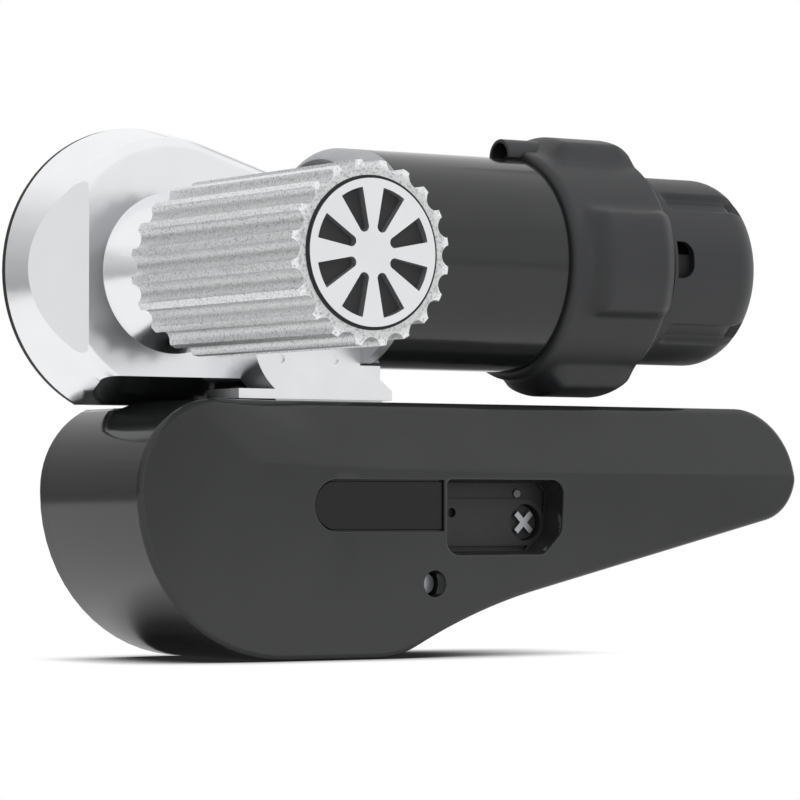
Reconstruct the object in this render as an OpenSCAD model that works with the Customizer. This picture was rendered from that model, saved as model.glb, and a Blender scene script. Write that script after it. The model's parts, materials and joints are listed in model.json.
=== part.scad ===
// Caravan motor mover: a fluted drive roller on a worm-geared motor, carried on a sliding
// carriage inside a moulded cover that bolts to the chassis. Millimetres, +Z up, front at -Y.
// The origin is the centre of the four chassis bolts, on the rear face of the mounting plate.

/* [Placement] */
// Roller axis to the left of the mount centre
roller_left = 62; // [54:0.5:70]
// Roller axis above the mount centre
roller_up = 84; // [80:0.5:92]
// Front of the roller cap ahead of the mounting face
roller_ahead = 171; // [166:0.5:190]

/* [Cover] */
// Length of the cover from nose to tail
cover_len = 283.5; // [270:0.5:310]
// Height of the cover
cover_h = 90; // [86:0.5:100]
// Depth of the cover from its front to the mounting plate
cover_depth = 66; // [64:0.5:72]
// Wall of the cover
cover_wall = 3; // [2:0.25:3.5]
// Nose of the cover beyond the roller axis
nose_reach = 28.8; // [26:0.2:36]
// Top of the cover below the roller axis
cover_drop = 44; // [43:0.25:46]
// Radius of the upper nose corner
nose_top_r = 30.5; // [24:0.5:34]
// Nose to the end of the flat belly
belly_reach = 95; // [88:0.5:102]
// Radius where the belly turns up
belly_r = 40; // [30:1:50]
// Steepest slope of the underside
waist_deg = 27; // [22:0.5:32]
// Hollow radius between belly and tail
waist_r = 230; // [160:5:280]
// Slope of the underside of the tail
tail_deg = 13.4; // [11:0.2:15]
// Radius under the tail end
tail_low_r = 18; // [12:0.5:20]
// Height of the band that leans back along the top of the front
brow_h = 22; // [16:0.5:24]
// How far that band leans back
brow_lean = 8; // [4:0.5:9]
// Bevel round the front edge
front_bevel = 2; // [1:0.25:2.5]
// Step down of the top behind the foot, under the gear pot
top_step = 2.5; // [2:0.25:3]

/* [Badge and tray] */
// Length of the badge plate
badge_len = 53; // [46:0.5:58]
// Height of the badge plate
badge_h = 17.2; // [14:0.2:19]
// Thickness of the badge plate
badge_t = 1.6; // [1:0.2:2]
// Length of the pocket beside the badge
pocket_len = 52; // [46:0.5:54]
// Height of the pocket
pocket_h = 27.8; // [25:0.2:29]
// Depth of the pocket floor
pocket_depth = 12; // [9:0.5:12.5]
// Wall of the tray behind the pocket
tray_wall = 2; // [1.5:0.25:2.5]

/* [Mounting plate] */
// Thickness of the mounting plate
plate_t = 5; // [4:0.5:6]
// Chassis bolt spacing along the cover
bolt_span_x = 100; // [94:1:104]
// Chassis bolt spacing up the cover
bolt_span_z = 36; // [32:1:40]
// Chassis bolt hole radius
bolt_hole_r = 5.5; // [5.25:0.05:5.75]

/* [Carriage] */
// Travel of the drive towards the tyre
travel = 30; // [24:1:34]
// Length of the carriage block on its rods
carriage_len = 40; // [36:1:44]
// Carriage block's left end to the right of the roller axis
carriage_dx = 40; // [38:0.5:44]
// Guide rod diameter
rod_d = 10; // [8:0.5:11]
// Spacing of the two guide rods
rod_span = 28; // [26:0.5:30]
// Wall of the carriage bushes
bush_wall = 2; // [1.5:0.25:2.5]

/* [Engagement] */
// Engaging shaft to the right of the roller axis
engage_dx = 137; // [134:0.5:139]
// Engaging shaft below the top of the cover
engage_drop = 42.4; // [40:0.2:45]
// Engaging shaft diameter
engage_d = 12; // [10:0.5:12.5]
// Teeth of the engaging pinion
engage_teeth = 12; // [10:1:12]
// Width of the cross on the engaging shaft
cross_w = 9.5; // [8:0.25:10]
// Thickness of the arms of the cross
cross_t = 2.2; // [1.6:0.1:2.8]

/* [Roller] */
// Outside diameter of the roller
roller_d = 60; // [56:0.5:64]
// Length of the roller body
roller_len = 103; // [98:0.5:104]
// Number of flutes
flute_count = 20; // [18:1:24]
// Radius of one flute
flute_r = 3.5; // [2.6:0.1:3.6]
// Diameter of the end cap disc
cap_d = 47.6; // [44:0.2:49]
// Thickness of the end cap disc
cap_t = 3; // [2:0.25:3.25]
// Number of windows in the end cap
window_count = 8; // [6:1:10]
// Diameter of the roller shaft
shaft_d = 17; // [16:0.5:18]

/* [Gearbox] */
// Radius of the gear pot at its rear rim
pot_r = 51.6; // [51:0.2:53]
// Pot centre above the roller axis
pot_rise = 0.8; // [0:0.2:1.2]
// Depth of the pot from front face to gasket
pot_depth = 27; // [26.5:0.25:27.5]
// How much smaller the pot is behind its rounded front edge
pot_draft = 4.7; // [3.5:0.1:4.9]
// Rounding of the front edge of the pot
pot_round = 5; // [4:0.5:7]
// Wall of the pot front
pot_wall = 4; // [3.5:0.25:4.5]
// Slope of the straight top between the pot and the motor
shoulder_deg = 17; // [14:0.5:18]
// Thickness of the black seal between the pot and its rear cover
gasket_t = 2.4; // [2:0.1:2.6]
// Thickness of the rear gear cover
gear_cover_t = 4.2; // [3.8:0.1:4.6]
// Intermediate shaft to the right of the roller axis
counter_dx = 45; // [44.5:0.1:45.6]
// Intermediate shaft below the roller axis
counter_drop = 22; // [21.2:0.1:22]
// Intermediate shaft diameter
counter_d = 12; // [10:0.5:12]
// Worm wheel teeth
wheel_teeth = 18; // [16:1:18]
// Spur pinion teeth
pinion_teeth = 22; // [18:1:22]
// Main gear teeth
main_teeth = 78; // [72:1:78]
// Wall round the worm wheel chamber
chamber_wall = 2.8; // [2.2:0.1:3.2]

/* [Motor] */
// Motor axis above the roller axis
motor_rise = 7; // [7:0.1:7.8]
// Motor axis behind the roller cap
motor_set = 120; // [119.5:0.25:120.5]
// Diameter of the motor tube
motor_d = 77.8; // [75:0.2:78.4]
// Length of the motor tube
tube_len = 112; // [108:0.5:116]
// Front of the end shield to the right of the roller axis
shield_dx = 65.6; // [65.2:0.2:67]
// Length of the rim of the end shield that the tube butts against
shield_len = 4.4; // [4:0.2:6]
// How far the hood of the end shield reaches over the worm tunnel
hood_len = 13.4; // [12:0.2:15]
// Rounding of the hood's edge
hood_round = 9; // [7:0.5:10]
// Wall of the motor tube
tube_wall = 3; // [2:0.25:3.5]
// Length of the shroud
shroud_len = 47; // [42:0.5:48]
// Height of the shroud bumps over the tube
bump_h = 8.6; // [7:0.1:9]
// Diameter of the motor end cap
endcap_d = 69.6; // [66:0.2:71]
// Length of the end cap
endcap_len = 46; // [44:0.5:50]

/* [Clearances] */
// Radial running fit of a shaft or rod in its bush or bearing
run_gap = 0.05; // [0.03:0.01:0.08]
// Gap between parts that pass each other
pass_gap = 0.6; // [0.4:0.1:1]
// Gap round inserts and seats
seat_gap = 0.1; // [0.05:0.01:0.2]

/* [Hidden] */
$fn = 64;
eps = 0.02;

// Roller axis and the planes along it
roller_x = -roller_left;
roller_z = roller_up;
cap_y = -roller_ahead;
roller_r = roller_d / 2;
cap_r = cap_d / 2;
rim_set = 2;
rim_recess = 3;
roller_y0 = cap_y + rim_set;
roller_y1 = roller_y0 + roller_len;
shaft_r = shaft_d / 2;

// Cover planes and outline
nose_x = roller_x - nose_reach;
tail_x = nose_x + cover_len;
top_z = roller_z - cover_drop;
floor_z = top_z - cover_h;
plate_y = -plate_t;
front_y = plate_y - cover_depth;
nose_flat = 1.5;
nose_low_r = cover_h - nose_top_r - nose_flat;
tail_flat = 2;
arc_steps = 16;
belly_c = [nose_x + belly_reach, floor_z + belly_r];
belly_end = belly_c + belly_r * [sin(waist_deg), -cos(waist_deg)];
waist_c = belly_end + waist_r * [sin(waist_deg), -cos(waist_deg)];
waist_end = waist_c + waist_r * [-sin(tail_deg), cos(tail_deg)];
tail_low_x = tail_x - tail_low_r;
tail_low_z = waist_end[1] + (tail_low_x - waist_end[0]) * tan(tail_deg) + tail_low_r / cos(tail_deg);
tail_top_r = top_z - tail_low_z - tail_flat;

// Motor and worm axis, worm wheel and gear centres
motor_y = cap_y + motor_set;
motor_z = roller_z + motor_rise;
motor_r = motor_d / 2;
counter_x = roller_x + counter_dx;
counter_z = roller_z - counter_drop;
counter_r = counter_d / 2;
worm_module = 2;
worm_pitch = PI * worm_module;
wheel_r = wheel_teeth * worm_module / 2;
worm_r = motor_z - counter_z - wheel_r;
centre_gap = norm([counter_dx, counter_drop]);
spur_module = 2 * centre_gap / (main_teeth + pinion_teeth);
mesh_deg = atan2(-counter_drop, counter_dx);
gear_tip = 0.9;
gear_root = 1.25;
spur_s = 0.4;
pinion_turn = mesh_deg + 180 + 180 / pinion_teeth;
wheel_s = 0.32;
wheel_tip = 0.8;
worm_tip = 0.85;
worm_root = 0.95;
main_r = main_teeth * spur_module / 2;
pinion_r = pinion_teeth * spur_module / 2;
wheel_tip_r = wheel_r + wheel_tip * worm_module;
worm_tip_r = worm_r + worm_tip * worm_module;
worm_root_r = worm_r - worm_root * worm_module;
worm_len = 22;
worm_nose_len = 8;
worm_nose_r = 11;
worm_bush_r = 8;
wheel_w = 8;

// Gearbox planes
pot_y0 = cap_y + 127;
pot_y1 = pot_y0 + pot_depth;
pot_in_y = pot_y0 + pot_wall;
pot_z = roller_z + pot_rise;
gear_cover_y0 = pot_y1 + gasket_t;
gear_cover_y1 = gear_cover_y0 + gear_cover_t;
cover_inset = 2.6;
cover_recess = 1.6;
bearing_back = 1.6;
gear_in_r = main_r + gear_tip * spur_module + 1.6;
pinion_in_r = pinion_r + gear_tip * spur_module + 1.6;
gear_y0 = pot_y0 + 20;
gear_w = 9;
front_cavity_r = 26;
front_cavity_y = pot_in_y + 3;
facet_x = roller_x - 33.5;
facet_left_deg = 46;
facet_z = roller_z - 36;
facet_low_deg = 21;
facet_low_x1 = roller_x + 32;
boss_y0 = cap_y + 108;
boss_r0 = 16.5;
boss_r1 = 28;
front_bearing = [17.5, 10];
front_bearing_y0 = pot_in_y - 11;
front_bearing_y1 = front_bearing_y0 + front_bearing[1];
gear_screw_r = 1.5;
rear_bearing = [14, 8];
rear_shaft_r = 6;
bearing_wall = 3;
bush_len = 8;
counter_bush_r = counter_r + 2;
seal_r = 14;
seal_t = 3.5;

// Worm wheel chamber and foot
chamber_y0 = cap_y + 114;
chamber_face_y = chamber_y0 - 4;
chamber_bush_y = chamber_face_y + 1.2;
dimple_p = [[counter_x - 12, counter_z - 7.5], [counter_x + 10, counter_z - 7.5]];
dimple_r = 1.6;
dimple_h = 0.8;
chamber_in_r = wheel_tip_r + 0.6;
chamber_r = chamber_in_r + chamber_wall;
worm_in_r = worm_tip_r + pass_gap;
worm_case_r = worm_in_r + 2.6;
worm_case_x0 = counter_x - worm_len / 2 - 2;
worm_nose_x0 = worm_case_x0 - worm_nose_len;
worm_flange_r = worm_case_r + 9;
worm_flange_t = 6;
shield_screw_r = worm_case_r + 5;
shield_screw_deg = [45 : 90 : 315];
worm_bush_x0 = worm_nose_x0 + 2.4;
worm_bush_x1 = worm_case_x0 + 1;
shield_x = roller_x + shield_dx;
wing_x1 = shield_x - 0.3;
shield_x1 = shield_x + 18.4;
hood_x = shield_x - hood_len;
tube_x = shield_x + shield_len;
tube_x1 = tube_x + tube_len;
flange_gap = 0.6;
flange_z0 = top_z + flange_gap;
flange_z1 = flange_z0 + 3.4;
wing_z0 = flange_z1;
wing_screw_z = [wing_z0 + 5, roller_z + 19];
shoulder_x = wing_x1 + 12;
shoulder_r = pot_r - (shoulder_x - roller_x) * sin(shoulder_deg);
pot_floor_z = top_z - top_step + 1.2;
foot_x0 = roller_x + 33;
foot_x1 = roller_x + 74;
neck_x0 = foot_x0 - 1;
neck_x1 = foot_x1 + 2;
neck_set = 12;
neck_depth = 18;
foot_lip = 2;
neck_y0 = front_y + neck_set;
neck_y1 = neck_y0 + neck_depth;
foot_y0 = min(chamber_face_y, neck_y0 - foot_lip);
foot_y1 = max(neck_y1 + foot_lip, pot_y0 + pot_wall + 1);
slot_gap = 2;

// Carriage, rods and rack
carriage_x0 = roller_x + carriage_dx;
carriage_x1 = carriage_x0 + carriage_len;
carriage_top_z = top_z - cover_wall - pass_gap - 1.4;
carriage_deck = 12;
deck_z = carriage_top_z - carriage_deck;
rod_r = rod_d / 2;
rod_y = plate_y - 18;
rod_wall = 4;
carriage_y1 = rod_y + rod_r + bush_wall + rod_wall - 2;
carriage_y0 = rod_y - rod_r - bush_wall - rod_wall;
rod_z1 = deck_z - 1;
rod_z0 = rod_z1 - rod_span;
carriage_z0 = rod_z0 - rod_r - bush_wall - 2.5;
rod_bush_r = rod_r + bush_wall;
rod_bush_len = 12;
rod_margin = 9;
bracket_t = 7;
bracket_x0 = carriage_x0 - travel - rod_margin - bracket_t;
bracket_x1 = carriage_x1 + bracket_t;
bracket_y0 = rod_y - rod_r - 2;
engage_module = 2;
engage_r = engage_teeth * engage_module / 2;
engage_x = roller_x + engage_dx;
engage_z = top_z - engage_drop;
engage_shaft_r = engage_d / 2;
engage_bush_r = engage_shaft_r + 2;
rack_z = engage_z + engage_r;
rack_pitch = PI * engage_module;
rack_y1 = carriage_y0;
rack_w = 10;
rack_y0 = rack_y1 - rack_w;
rack_back = 8.5;
rack_tip = 0.9;
rack_root = 1.15;
rack_s = 0.42;
engage_turn = 90 + 180 / engage_teeth;
tan_flank = tan(20);

// Badge recess, pocket and tray on the front face
pocket_x0 = engage_x - 41.4;
pocket_x1 = pocket_x0 + pocket_len;
pocket_z1 = engage_z + 15.8;
pocket_z0 = pocket_z1 - pocket_h;
pocket_r = 3;
pocket_cut = 8;
badge_x1 = pocket_x0 - 1.2;
badge_x0 = badge_x1 - badge_len;
badge_z = engage_z + 6;
tray_y0 = front_y + 0.4;
tray_floor_y = front_y + pocket_depth;
tray_y1 = tray_floor_y + tray_wall;
plinth_h = 16.8;
plinth_rise = 1.2;
cross_y0 = tray_floor_y - plinth_rise + 0.8;
shaft_front_y = tray_floor_y + 3;
shaft_hole_r = engage_shaft_r + pass_gap;

// Fasteners
post_p = [engage_x - 46.2, engage_z - 21.6];
post_r = 6;
post_hole_r = 4.5;
post_y = plate_y - 34;
screw_r = 2;
head_r = 3.6;
head_h = 3.2;
sunk_head_r = 1.8;
sunk_head_h = 1.2;
boss_r = 5;
rear_boss = [
  [nose_x + 48.8, floor_z + 13], [nose_x + 100.8, floor_z + 11],
  [tail_x - 25, top_z - 22], [tail_x - 57, top_z - 13]
];
nut_r = 9;
nut_h = 8;
nut_bore_r = bolt_hole_r - 0.5;
bolt_x = [-bolt_span_x / 2, bolt_span_x / 2];
bolt_z = [-bolt_span_z / 2, bolt_span_z / 2];
bracket_screw_r = 2.5;
bracket_screw_p = [
  for (x = [bracket_x0, bracket_x1], z = [-6, 6]) [x + bracket_t / 2, rod_z0 + rod_span / 2 + z]
];
gear_screw_deg = [22, 66, 110, 154, 198];
gear_screw_set = 6;
gear_screw_in = 8;

// Motor inside
magnet_out_r = motor_r - tube_wall - seat_gap;
magnet_t = 8.6;
core_r = magnet_out_r - magnet_t - 0.8;
core_x0 = shield_x + 30.4;
core_len = 66;
magnet_x0 = core_x0 - 3;
magnet_len = core_len + 6;
armature_r = 5;
motor_bearing_r = 13;
motor_bearing_w = 8;
shield_bearing_x = shield_x + 4;
commutator_r = 13;
commutator_x0 = tube_x1 + 6;
commutator_len = 16;
brush_len = 12;
endcap_r = endcap_d / 2;
endcap_x0 = tube_x1 + 1;
endcap_x1 = endcap_x0 + endcap_len;
endcap_wall = 3;
endcap_round = 13;
shroud_x1 = endcap_x0;
shroud_x0 = shroud_x1 - shroud_len;
shroud_t = 3;
shroud_in_r = endcap_r - 2;
bump_deg = 26;
rear_bearing_x = commutator_x0 + commutator_len + 5;
armature_x1 = rear_bearing_x + motor_bearing_w;
holder_r = endcap_r - endcap_wall - seat_gap;
holder_back_r = holder_r - 6;
holder_x0 = commutator_x0 - 1;
holder_len = commutator_len + 2;

alloy = "#c9ccd0";
bright_alloy = "#e2e3e5";
steel = "#9a9da1";
dark_steel = "#55585c";
gloss_grey = "#3f413f";
satin_grey = "#424345";
black_plastic = "#303031";
rubber_black = "#1b1b1c";
bronze = "#a8814f";
copper = "#b0683a";

// Shapes shared by many parts
function polar(r, a) = r * [cos(a), sin(a)];
function arc(c, r, a0, a1) =
  [for (i = [0 : arc_steps]) c + polar(r, a0 + (a1 - a0) * i / arc_steps)];
function cover_points(inset) = concat(
  arc([nose_x + nose_top_r, top_z - nose_top_r], nose_top_r - inset, 90, 180),
  arc([nose_x + nose_low_r, floor_z + nose_low_r], nose_low_r - inset, 180, 270),
  arc(belly_c, belly_r - inset, 270, 270 + waist_deg),
  arc(waist_c, waist_r + inset, 90 + waist_deg, 90 + tail_deg),
  arc([tail_low_x, tail_low_z], tail_low_r - inset, 270 + tail_deg, 360),
  arc([tail_x - tail_top_r, top_z - tail_top_r], tail_top_r - inset, 0, 90)
);
function gear_points(teeth, m, s, tip, root, turn) = [
  for (i = [0 : teeth - 1])
    for (c = [[-1, -root], [-1, tip], [1, tip], [1, -root]])
      let (
        r = teeth * m / 2 + c[1] * m,
        half = s * PI * m / 2 - c[1] * m * tan_flank
      )
        polar(r, turn + 360 * i / teeth + c[0] * half / r * 180 / PI)
];

module along_y(y0, y1) translate([0, y1, 0]) rotate([90, 0, 0]) linear_extrude(y1 - y0) children();
module along_x(x0, x1) translate([x0, 0, 0]) rotate([90, 0, 90]) linear_extrude(x1 - x0) children();
module rod_along_y(p, r, y0, y1)
  translate([p[0], y0, p[1]]) rotate([-90, 0, 0]) cylinder(r = r, h = y1 - y0);
module rod_along_x(p, r, x0, x1)
  translate([x0, p[0], p[1]]) rotate([0, 90, 0]) cylinder(r = r, h = x1 - x0);
module rod_up(x, y, r, z0, z1) translate([x, y, z0]) cylinder(r = r, h = z1 - z0);
module hex_along_y(p, r, y0, y1)
  translate([p[0], y0, p[1]]) rotate([-90, 0, 0]) cylinder(r = r, h = y1 - y0, $fn = 6);
module hex_along_x(p, r, x0, x1)
  translate([x0, p[0], p[1]]) rotate([0, 90, 0]) cylinder(r = r, h = x1 - x0, $fn = 6);
module turned_y(p) translate([p[0], 0, p[1]]) rotate([-90, 0, 0]) rotate_extrude() children();
module turned_x(p) translate([0, p[0], p[1]]) rotate([0, 90, 0]) rotate_extrude() children();
module block(low, high) translate(low) cube(high - low);
module ring_along_y(p, r, bore, y0, y1) difference() {
  rod_along_y(p, r, y0, y1);
  rod_along_y(p, bore, y0 - 1, y1 + 1);
}
module ring_along_x(p, r, bore, x0, x1) difference() {
  rod_along_x(p, r, x0, x1);
  rod_along_x(p, bore, x0 - 1, x1 + 1);
}

roller_p = [roller_x, roller_z];
counter_p = [counter_x, counter_z];
engage_p = [engage_x, engage_z];
motor_p = [motor_y, motor_z];

// Chassis side
module mount_plate() color(dark_steel) difference() {
  along_y(plate_y, 0) polygon(cover_points(0));
  block([nose_x - 1, plate_y - 1, top_z - top_step], [tail_x + 1, 1, top_z + 1]);
  for (x = bolt_x, z = bolt_z) rod_along_y([x, z], bolt_hole_r, plate_y - 1, 1);
  for (p = rear_boss) screw_seat(p, 0, plate_t + 1, screw_r - seat_gap);
  for (p = bracket_screw_p) screw_seat(p, 0, plate_t + 1, bracket_screw_r - seat_gap);
  rod_along_y(engage_p, engage_bush_r, plate_y - 1, 1);
}

module weld_nuts() color(steel) for (x = bolt_x, z = bolt_z) difference() {
  hex_along_y([x, z], nut_r, plate_y - nut_h, plate_y);
  rod_along_y([x, z], nut_bore_r, plate_y - nut_h - 1, plate_y + 1);
}

// Room round the nuts for what stands beside them
module nut_room() for (x = bolt_x, z = bolt_z)
  rod_along_y([x, z], nut_r + pass_gap, plate_y - nut_h - pass_gap, plate_y + 1);

// Leaning band along the top of the front face, as the wedge that is taken off
module brow_wedge(set) along_x(nose_x - 1, tail_x + 1) polygon([
  [front_y - 1 + set, top_z - brow_h - brow_h / brow_lean],
  [front_y + brow_lean + set + brow_lean / brow_h * 2, top_z + 2],
  [front_y - 1 + set, top_z + 2]
]);
module pocket_outline(grow) {
  lo = [pocket_x0 - grow, pocket_z0 - grow];
  hi = [pocket_x1 + grow, pocket_z1 + grow];
  cut = pocket_cut;
  polygon([
    [lo[0], lo[1] + pocket_r], [lo[0] + pocket_r, lo[1]], [hi[0] - cut - 1, lo[1]],
    [hi[0] - 1, lo[1] + cut], [hi[0], hi[1] - pocket_r], [hi[0] - pocket_r, hi[1]], [lo[0], hi[1]]
  ]);
}
module badge_outline(grow) {
  translate([badge_x0 + badge_h / 2, badge_z]) circle(badge_h / 2 + grow);
  translate([badge_x0 + badge_h / 2, badge_z - badge_h / 2 - grow])
    square([badge_len - badge_h / 2 + grow, badge_h + 2 * grow]);
}
module cover_body() difference() {
  union() {
    along_y(front_y + front_bevel, plate_y) polygon(cover_points(0));
    along_y(front_y + front_bevel / 3, front_y + front_bevel) polygon(cover_points(front_bevel / 3));
    along_y(front_y, front_y + front_bevel / 3) polygon(cover_points(front_bevel));
  }
  brow_wedge(0);
  block([nose_x - 1, pot_y0 + 18, top_z - top_step], [tail_x + 1, 1, top_z + 1]);
}
module cover_cavity() difference() {
  along_y(front_y + cover_wall, plate_y + 1) polygon(cover_points(cover_wall));
  brow_wedge(cover_wall * 1.1);
  block([nose_x, pot_y0 + 18 - cover_wall, top_z - top_step - cover_wall], [tail_x, 1, top_z]);
}
module cover_shell() color(gloss_grey) difference() {
  union() {
    difference() {
      cover_body();
      cover_cavity();
    }
    intersection() {
      cover_body();
      union() {
        for (p = rear_boss) rod_along_y(p, boss_r, front_y + cover_wall - eps, plate_y);
        rod_along_y(post_p, post_hole_r + cover_wall, front_y + cover_wall - eps, post_y);
        along_y(front_y + cover_wall - eps, front_y + cover_wall + badge_t) badge_outline(cover_wall);
      }
    }
  }
  for (p = rear_boss) rod_along_y(p, screw_r, plate_y - 14, plate_y + 1);
  nut_room();
  rod_along_y(post_p, post_hole_r, front_y - 1, post_y - cover_wall);
  rod_along_y(post_p, screw_r + seat_gap, post_y - cover_wall - 1, post_y + 1);
  along_y(front_y - 1, front_y + badge_t + 0.4) badge_outline(seat_gap);
  along_y(front_y - 1, tray_y1) pocket_outline(seat_gap);
  block(
    [neck_x0 - travel - slot_gap, neck_y0 - slot_gap + 0.5, carriage_top_z],
    [neck_x1 + slot_gap, neck_y1 + slot_gap, top_z + 1]
  );
}

// A pan head screw along Y with its head in front of y, and a flush one with its head sunk behind
module screw_back(p, y, shank) {
  rod_along_y(p, head_r, y - head_h, y);
  rod_along_y(p, screw_r, y - eps, y + shank);
}
module screw_forward(p, y, shank, r) {
  rod_along_y(p, r * sunk_head_r, y - r * sunk_head_h, y);
  rod_along_y(p, r, y - shank, y - r * sunk_head_h + eps);
}
module screw_seat(p, y, depth, r) {
  rod_along_y(p, r * sunk_head_r + seat_gap, y - r * sunk_head_h, y + 1);
  rod_along_y(p, r + seat_gap, y - depth, y + 1);
}
module cover_screws() color(steel) {
  screw_back(post_p, post_y - cover_wall, 16);
  for (p = rear_boss) screw_forward(p, 0, plate_t + 12, screw_r - seat_gap);
}
module cover_post() color(steel)
  ring_along_y(post_p, post_r, screw_r, post_y, plate_y);
module badge_plate() color(black_plastic)
  along_y(front_y + 0.4, front_y + badge_t + 0.4) badge_outline(0);

// Access pocket with its raised plinth round the cross
module pocket_tray() color(black_plastic) difference() {
  union() {
    along_y(tray_y0, tray_y1) pocket_outline(0);
    difference() {
      along_y(front_y + cover_wall, front_y + cover_wall + tray_wall) pocket_outline(3);
      along_y(front_y, tray_y1) badge_outline(cover_wall + 0.5);
    }
  }
  difference() {
    along_y(front_y - 1, tray_floor_y) pocket_outline(-tray_wall);
    intersection() {
      along_y(tray_floor_y - plinth_rise, tray_y1) pocket_outline(-tray_wall - eps);
      union() {
        rod_along_y(engage_p, plinth_h / 2, front_y, tray_y1);
        block(
          [pocket_x0, front_y, engage_z - plinth_h / 2],
          [engage_x, tray_y1, engage_z + plinth_h / 2]
        );
      }
    }
  }
  rod_along_y(engage_p, shaft_hole_r, front_y, tray_y1 + 1);
}
module lock_pip() color(alloy)
  rod_along_y([engage_x - 3, pocket_z1 - tray_wall - 3.4], 1.2, tray_floor_y - 0.8, tray_floor_y);

// Guide rods and what holds them
module rod_brackets() color(dark_steel) for (x = [bracket_x0, bracket_x1]) difference() {
  block([x, bracket_y0, rod_z0 - rod_r - 2], [x + bracket_t, plate_y, rod_z1 + rod_r + 2]);
  for (z = [rod_z0, rod_z1]) rod_along_x([rod_y, z], rod_r, x - 1, x + bracket_t + 1);
  for (p = bracket_screw_p) rod_along_y(p, bracket_screw_r, plate_y - 11, plate_y + 1);
  nut_room();
}
module plate_screws() color(steel)
  for (p = bracket_screw_p) screw_forward(p, 0, plate_t + 10, bracket_screw_r - seat_gap);
module guide_rods() color(steel)
  for (z = [rod_z0, rod_z1]) rod_along_x([rod_y, z], rod_r, bracket_x0, bracket_x1 + bracket_t);

// Engaging shaft with its cross, pinion, bracket and bushes
web_y0 = tray_y1 + 2;
web_y1 = web_y0 + 4;
pinion_y0 = rack_y0 - 1;
pinion_y1 = rack_y1 + 1;
leg_x0 = engage_x + engage_r + rack_tip * engage_module + 1.5;
module engage_bracket() color(dark_steel) difference() {
  union() {
    block([engage_x - engage_bush_r - 3, web_y0, engage_z - engage_bush_r - 2],
      [leg_x0 + 5, web_y1, rack_z - 3.5]);
    block([leg_x0, web_y0, engage_z - engage_bush_r - 2], [leg_x0 + 5, plate_y, rack_z - 6]);
  }
  rod_along_y(engage_p, engage_bush_r, web_y0 - 1, web_y1 + 1);
}
module engage_bushes() color(bronze) {
  ring_along_y(engage_p, engage_bush_r, engage_shaft_r + run_gap, web_y0, web_y1);
  ring_along_y(engage_p, engage_bush_r, engage_shaft_r + run_gap, plate_y, 0);
}
module engage_shaft() color(steel) {
  rod_along_y(engage_p, engage_shaft_r, shaft_front_y, pinion_y0);
  rod_along_y(engage_p, engage_shaft_r, pinion_y1, 0);
  hex_along_y(engage_p, engage_shaft_r, pinion_y0 - eps, pinion_y1 + eps);
  for (a = [45, 135]) translate([engage_x, cross_y0, engage_z]) rotate([0, a, 0])
    translate([-cross_w / 2, 0, -cross_t / 2]) cube([cross_w, shaft_front_y - cross_y0 + eps, cross_t]);
}
module engage_pinion() color(steel) translate([engage_x, 0, engage_z]) difference() {
  along_y(pinion_y0, pinion_y1)
    polygon(gear_points(engage_teeth, engage_module, rack_s, rack_tip, rack_root, engage_turn));
  hex_along_y([0, 0], engage_shaft_r, pinion_y0 - 1, pinion_y1 + 1);
}

// Sliding carriage
rack_first = -3;
rack_last = ceil(travel / rack_pitch) + 3;
rack_x0 = carriage_x0 + 4;
rack_x1 = engage_x + (rack_last + 0.5) * rack_pitch;
rack_top_z = rack_z + rack_root * engage_module + rack_back;
rack_screw_x = [carriage_x0 + 10, carriage_x1 - 10];
rack_screw_in = 5;
rack_screw_z = (rack_z + rack_root * engage_module + rack_top_z) / 2;
foot_screw_x = [neck_x0 + 6, neck_x1 - 6];
foot_screw_y = [neck_y0 + 4.2, neck_y0 + 11.2];
foot_head_r = 3.2;
housing_screw_x = [roller_x + 36, roller_x + 54];
housing_screw_y = pot_y0 + 2.2;
housing_screw_r = 1.5;
housing_head_r = 2.6;
housing_head_h = 2;
housing_screw_len = 12;
foot_screw_in = 7;
module carriage() color(alloy) difference() {
  union() {
    block([carriage_x0, carriage_y0, carriage_z0], [carriage_x1, carriage_y1, rod_z1 + rod_bush_r + 2]);
    block([neck_x0, neck_y0, deck_z], [carriage_x1, carriage_y0 + 5, carriage_top_z]);
  }
  for (z = [rod_z0, rod_z1]) rod_along_x([rod_y, z], rod_bush_r, carriage_x0 - 1, carriage_x1 + 1);
  for (x = rack_screw_x)
    rod_along_y([x, rack_screw_z], screw_r, carriage_y0 - 1, carriage_y0 + rack_screw_in);
  for (x = foot_screw_x, y = foot_screw_y)
    rod_up(x, y, screw_r + seat_gap, deck_z - 1, carriage_top_z + 1);
  // relief in the deck where a high rack reaches into it
  if (rack_top_z + pass_gap > deck_z) block(
    [neck_x0 - 1, rack_y0 - pass_gap, carriage_z0], [rack_x1 + 1, rack_y1, rack_top_z + pass_gap]
  );
}
module carriage_bushes() color(bronze)
  for (z = [rod_z0, rod_z1], x = [carriage_x0, carriage_x1 - rod_bush_len])
    ring_along_x([rod_y, z], rod_bush_r, rod_r + run_gap, x, x + rod_bush_len);
module rack() color(steel) difference() {
  along_y(rack_y0, rack_y1) polygon(concat(
    [[rack_x1, rack_top_z], [rack_x0, rack_top_z], [rack_x0, rack_z + rack_root * engage_module]],
    [for (k = [rack_first : rack_last])
      for (c = [[-1, rack_root], [-1, -rack_tip], [1, -rack_tip], [1, rack_root]]) [
        engage_x + k * rack_pitch + c[0] * (rack_s * rack_pitch / 2 + c[1] * engage_module * tan_flank),
        rack_z + c[1] * engage_module
      ]],
    [[rack_x1, rack_z + rack_root * engage_module]]
  ));
  for (x = rack_screw_x) rod_along_y([x, rack_screw_z], screw_r + seat_gap, rack_y0 - 1, rack_y1 + 1);
}
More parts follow.
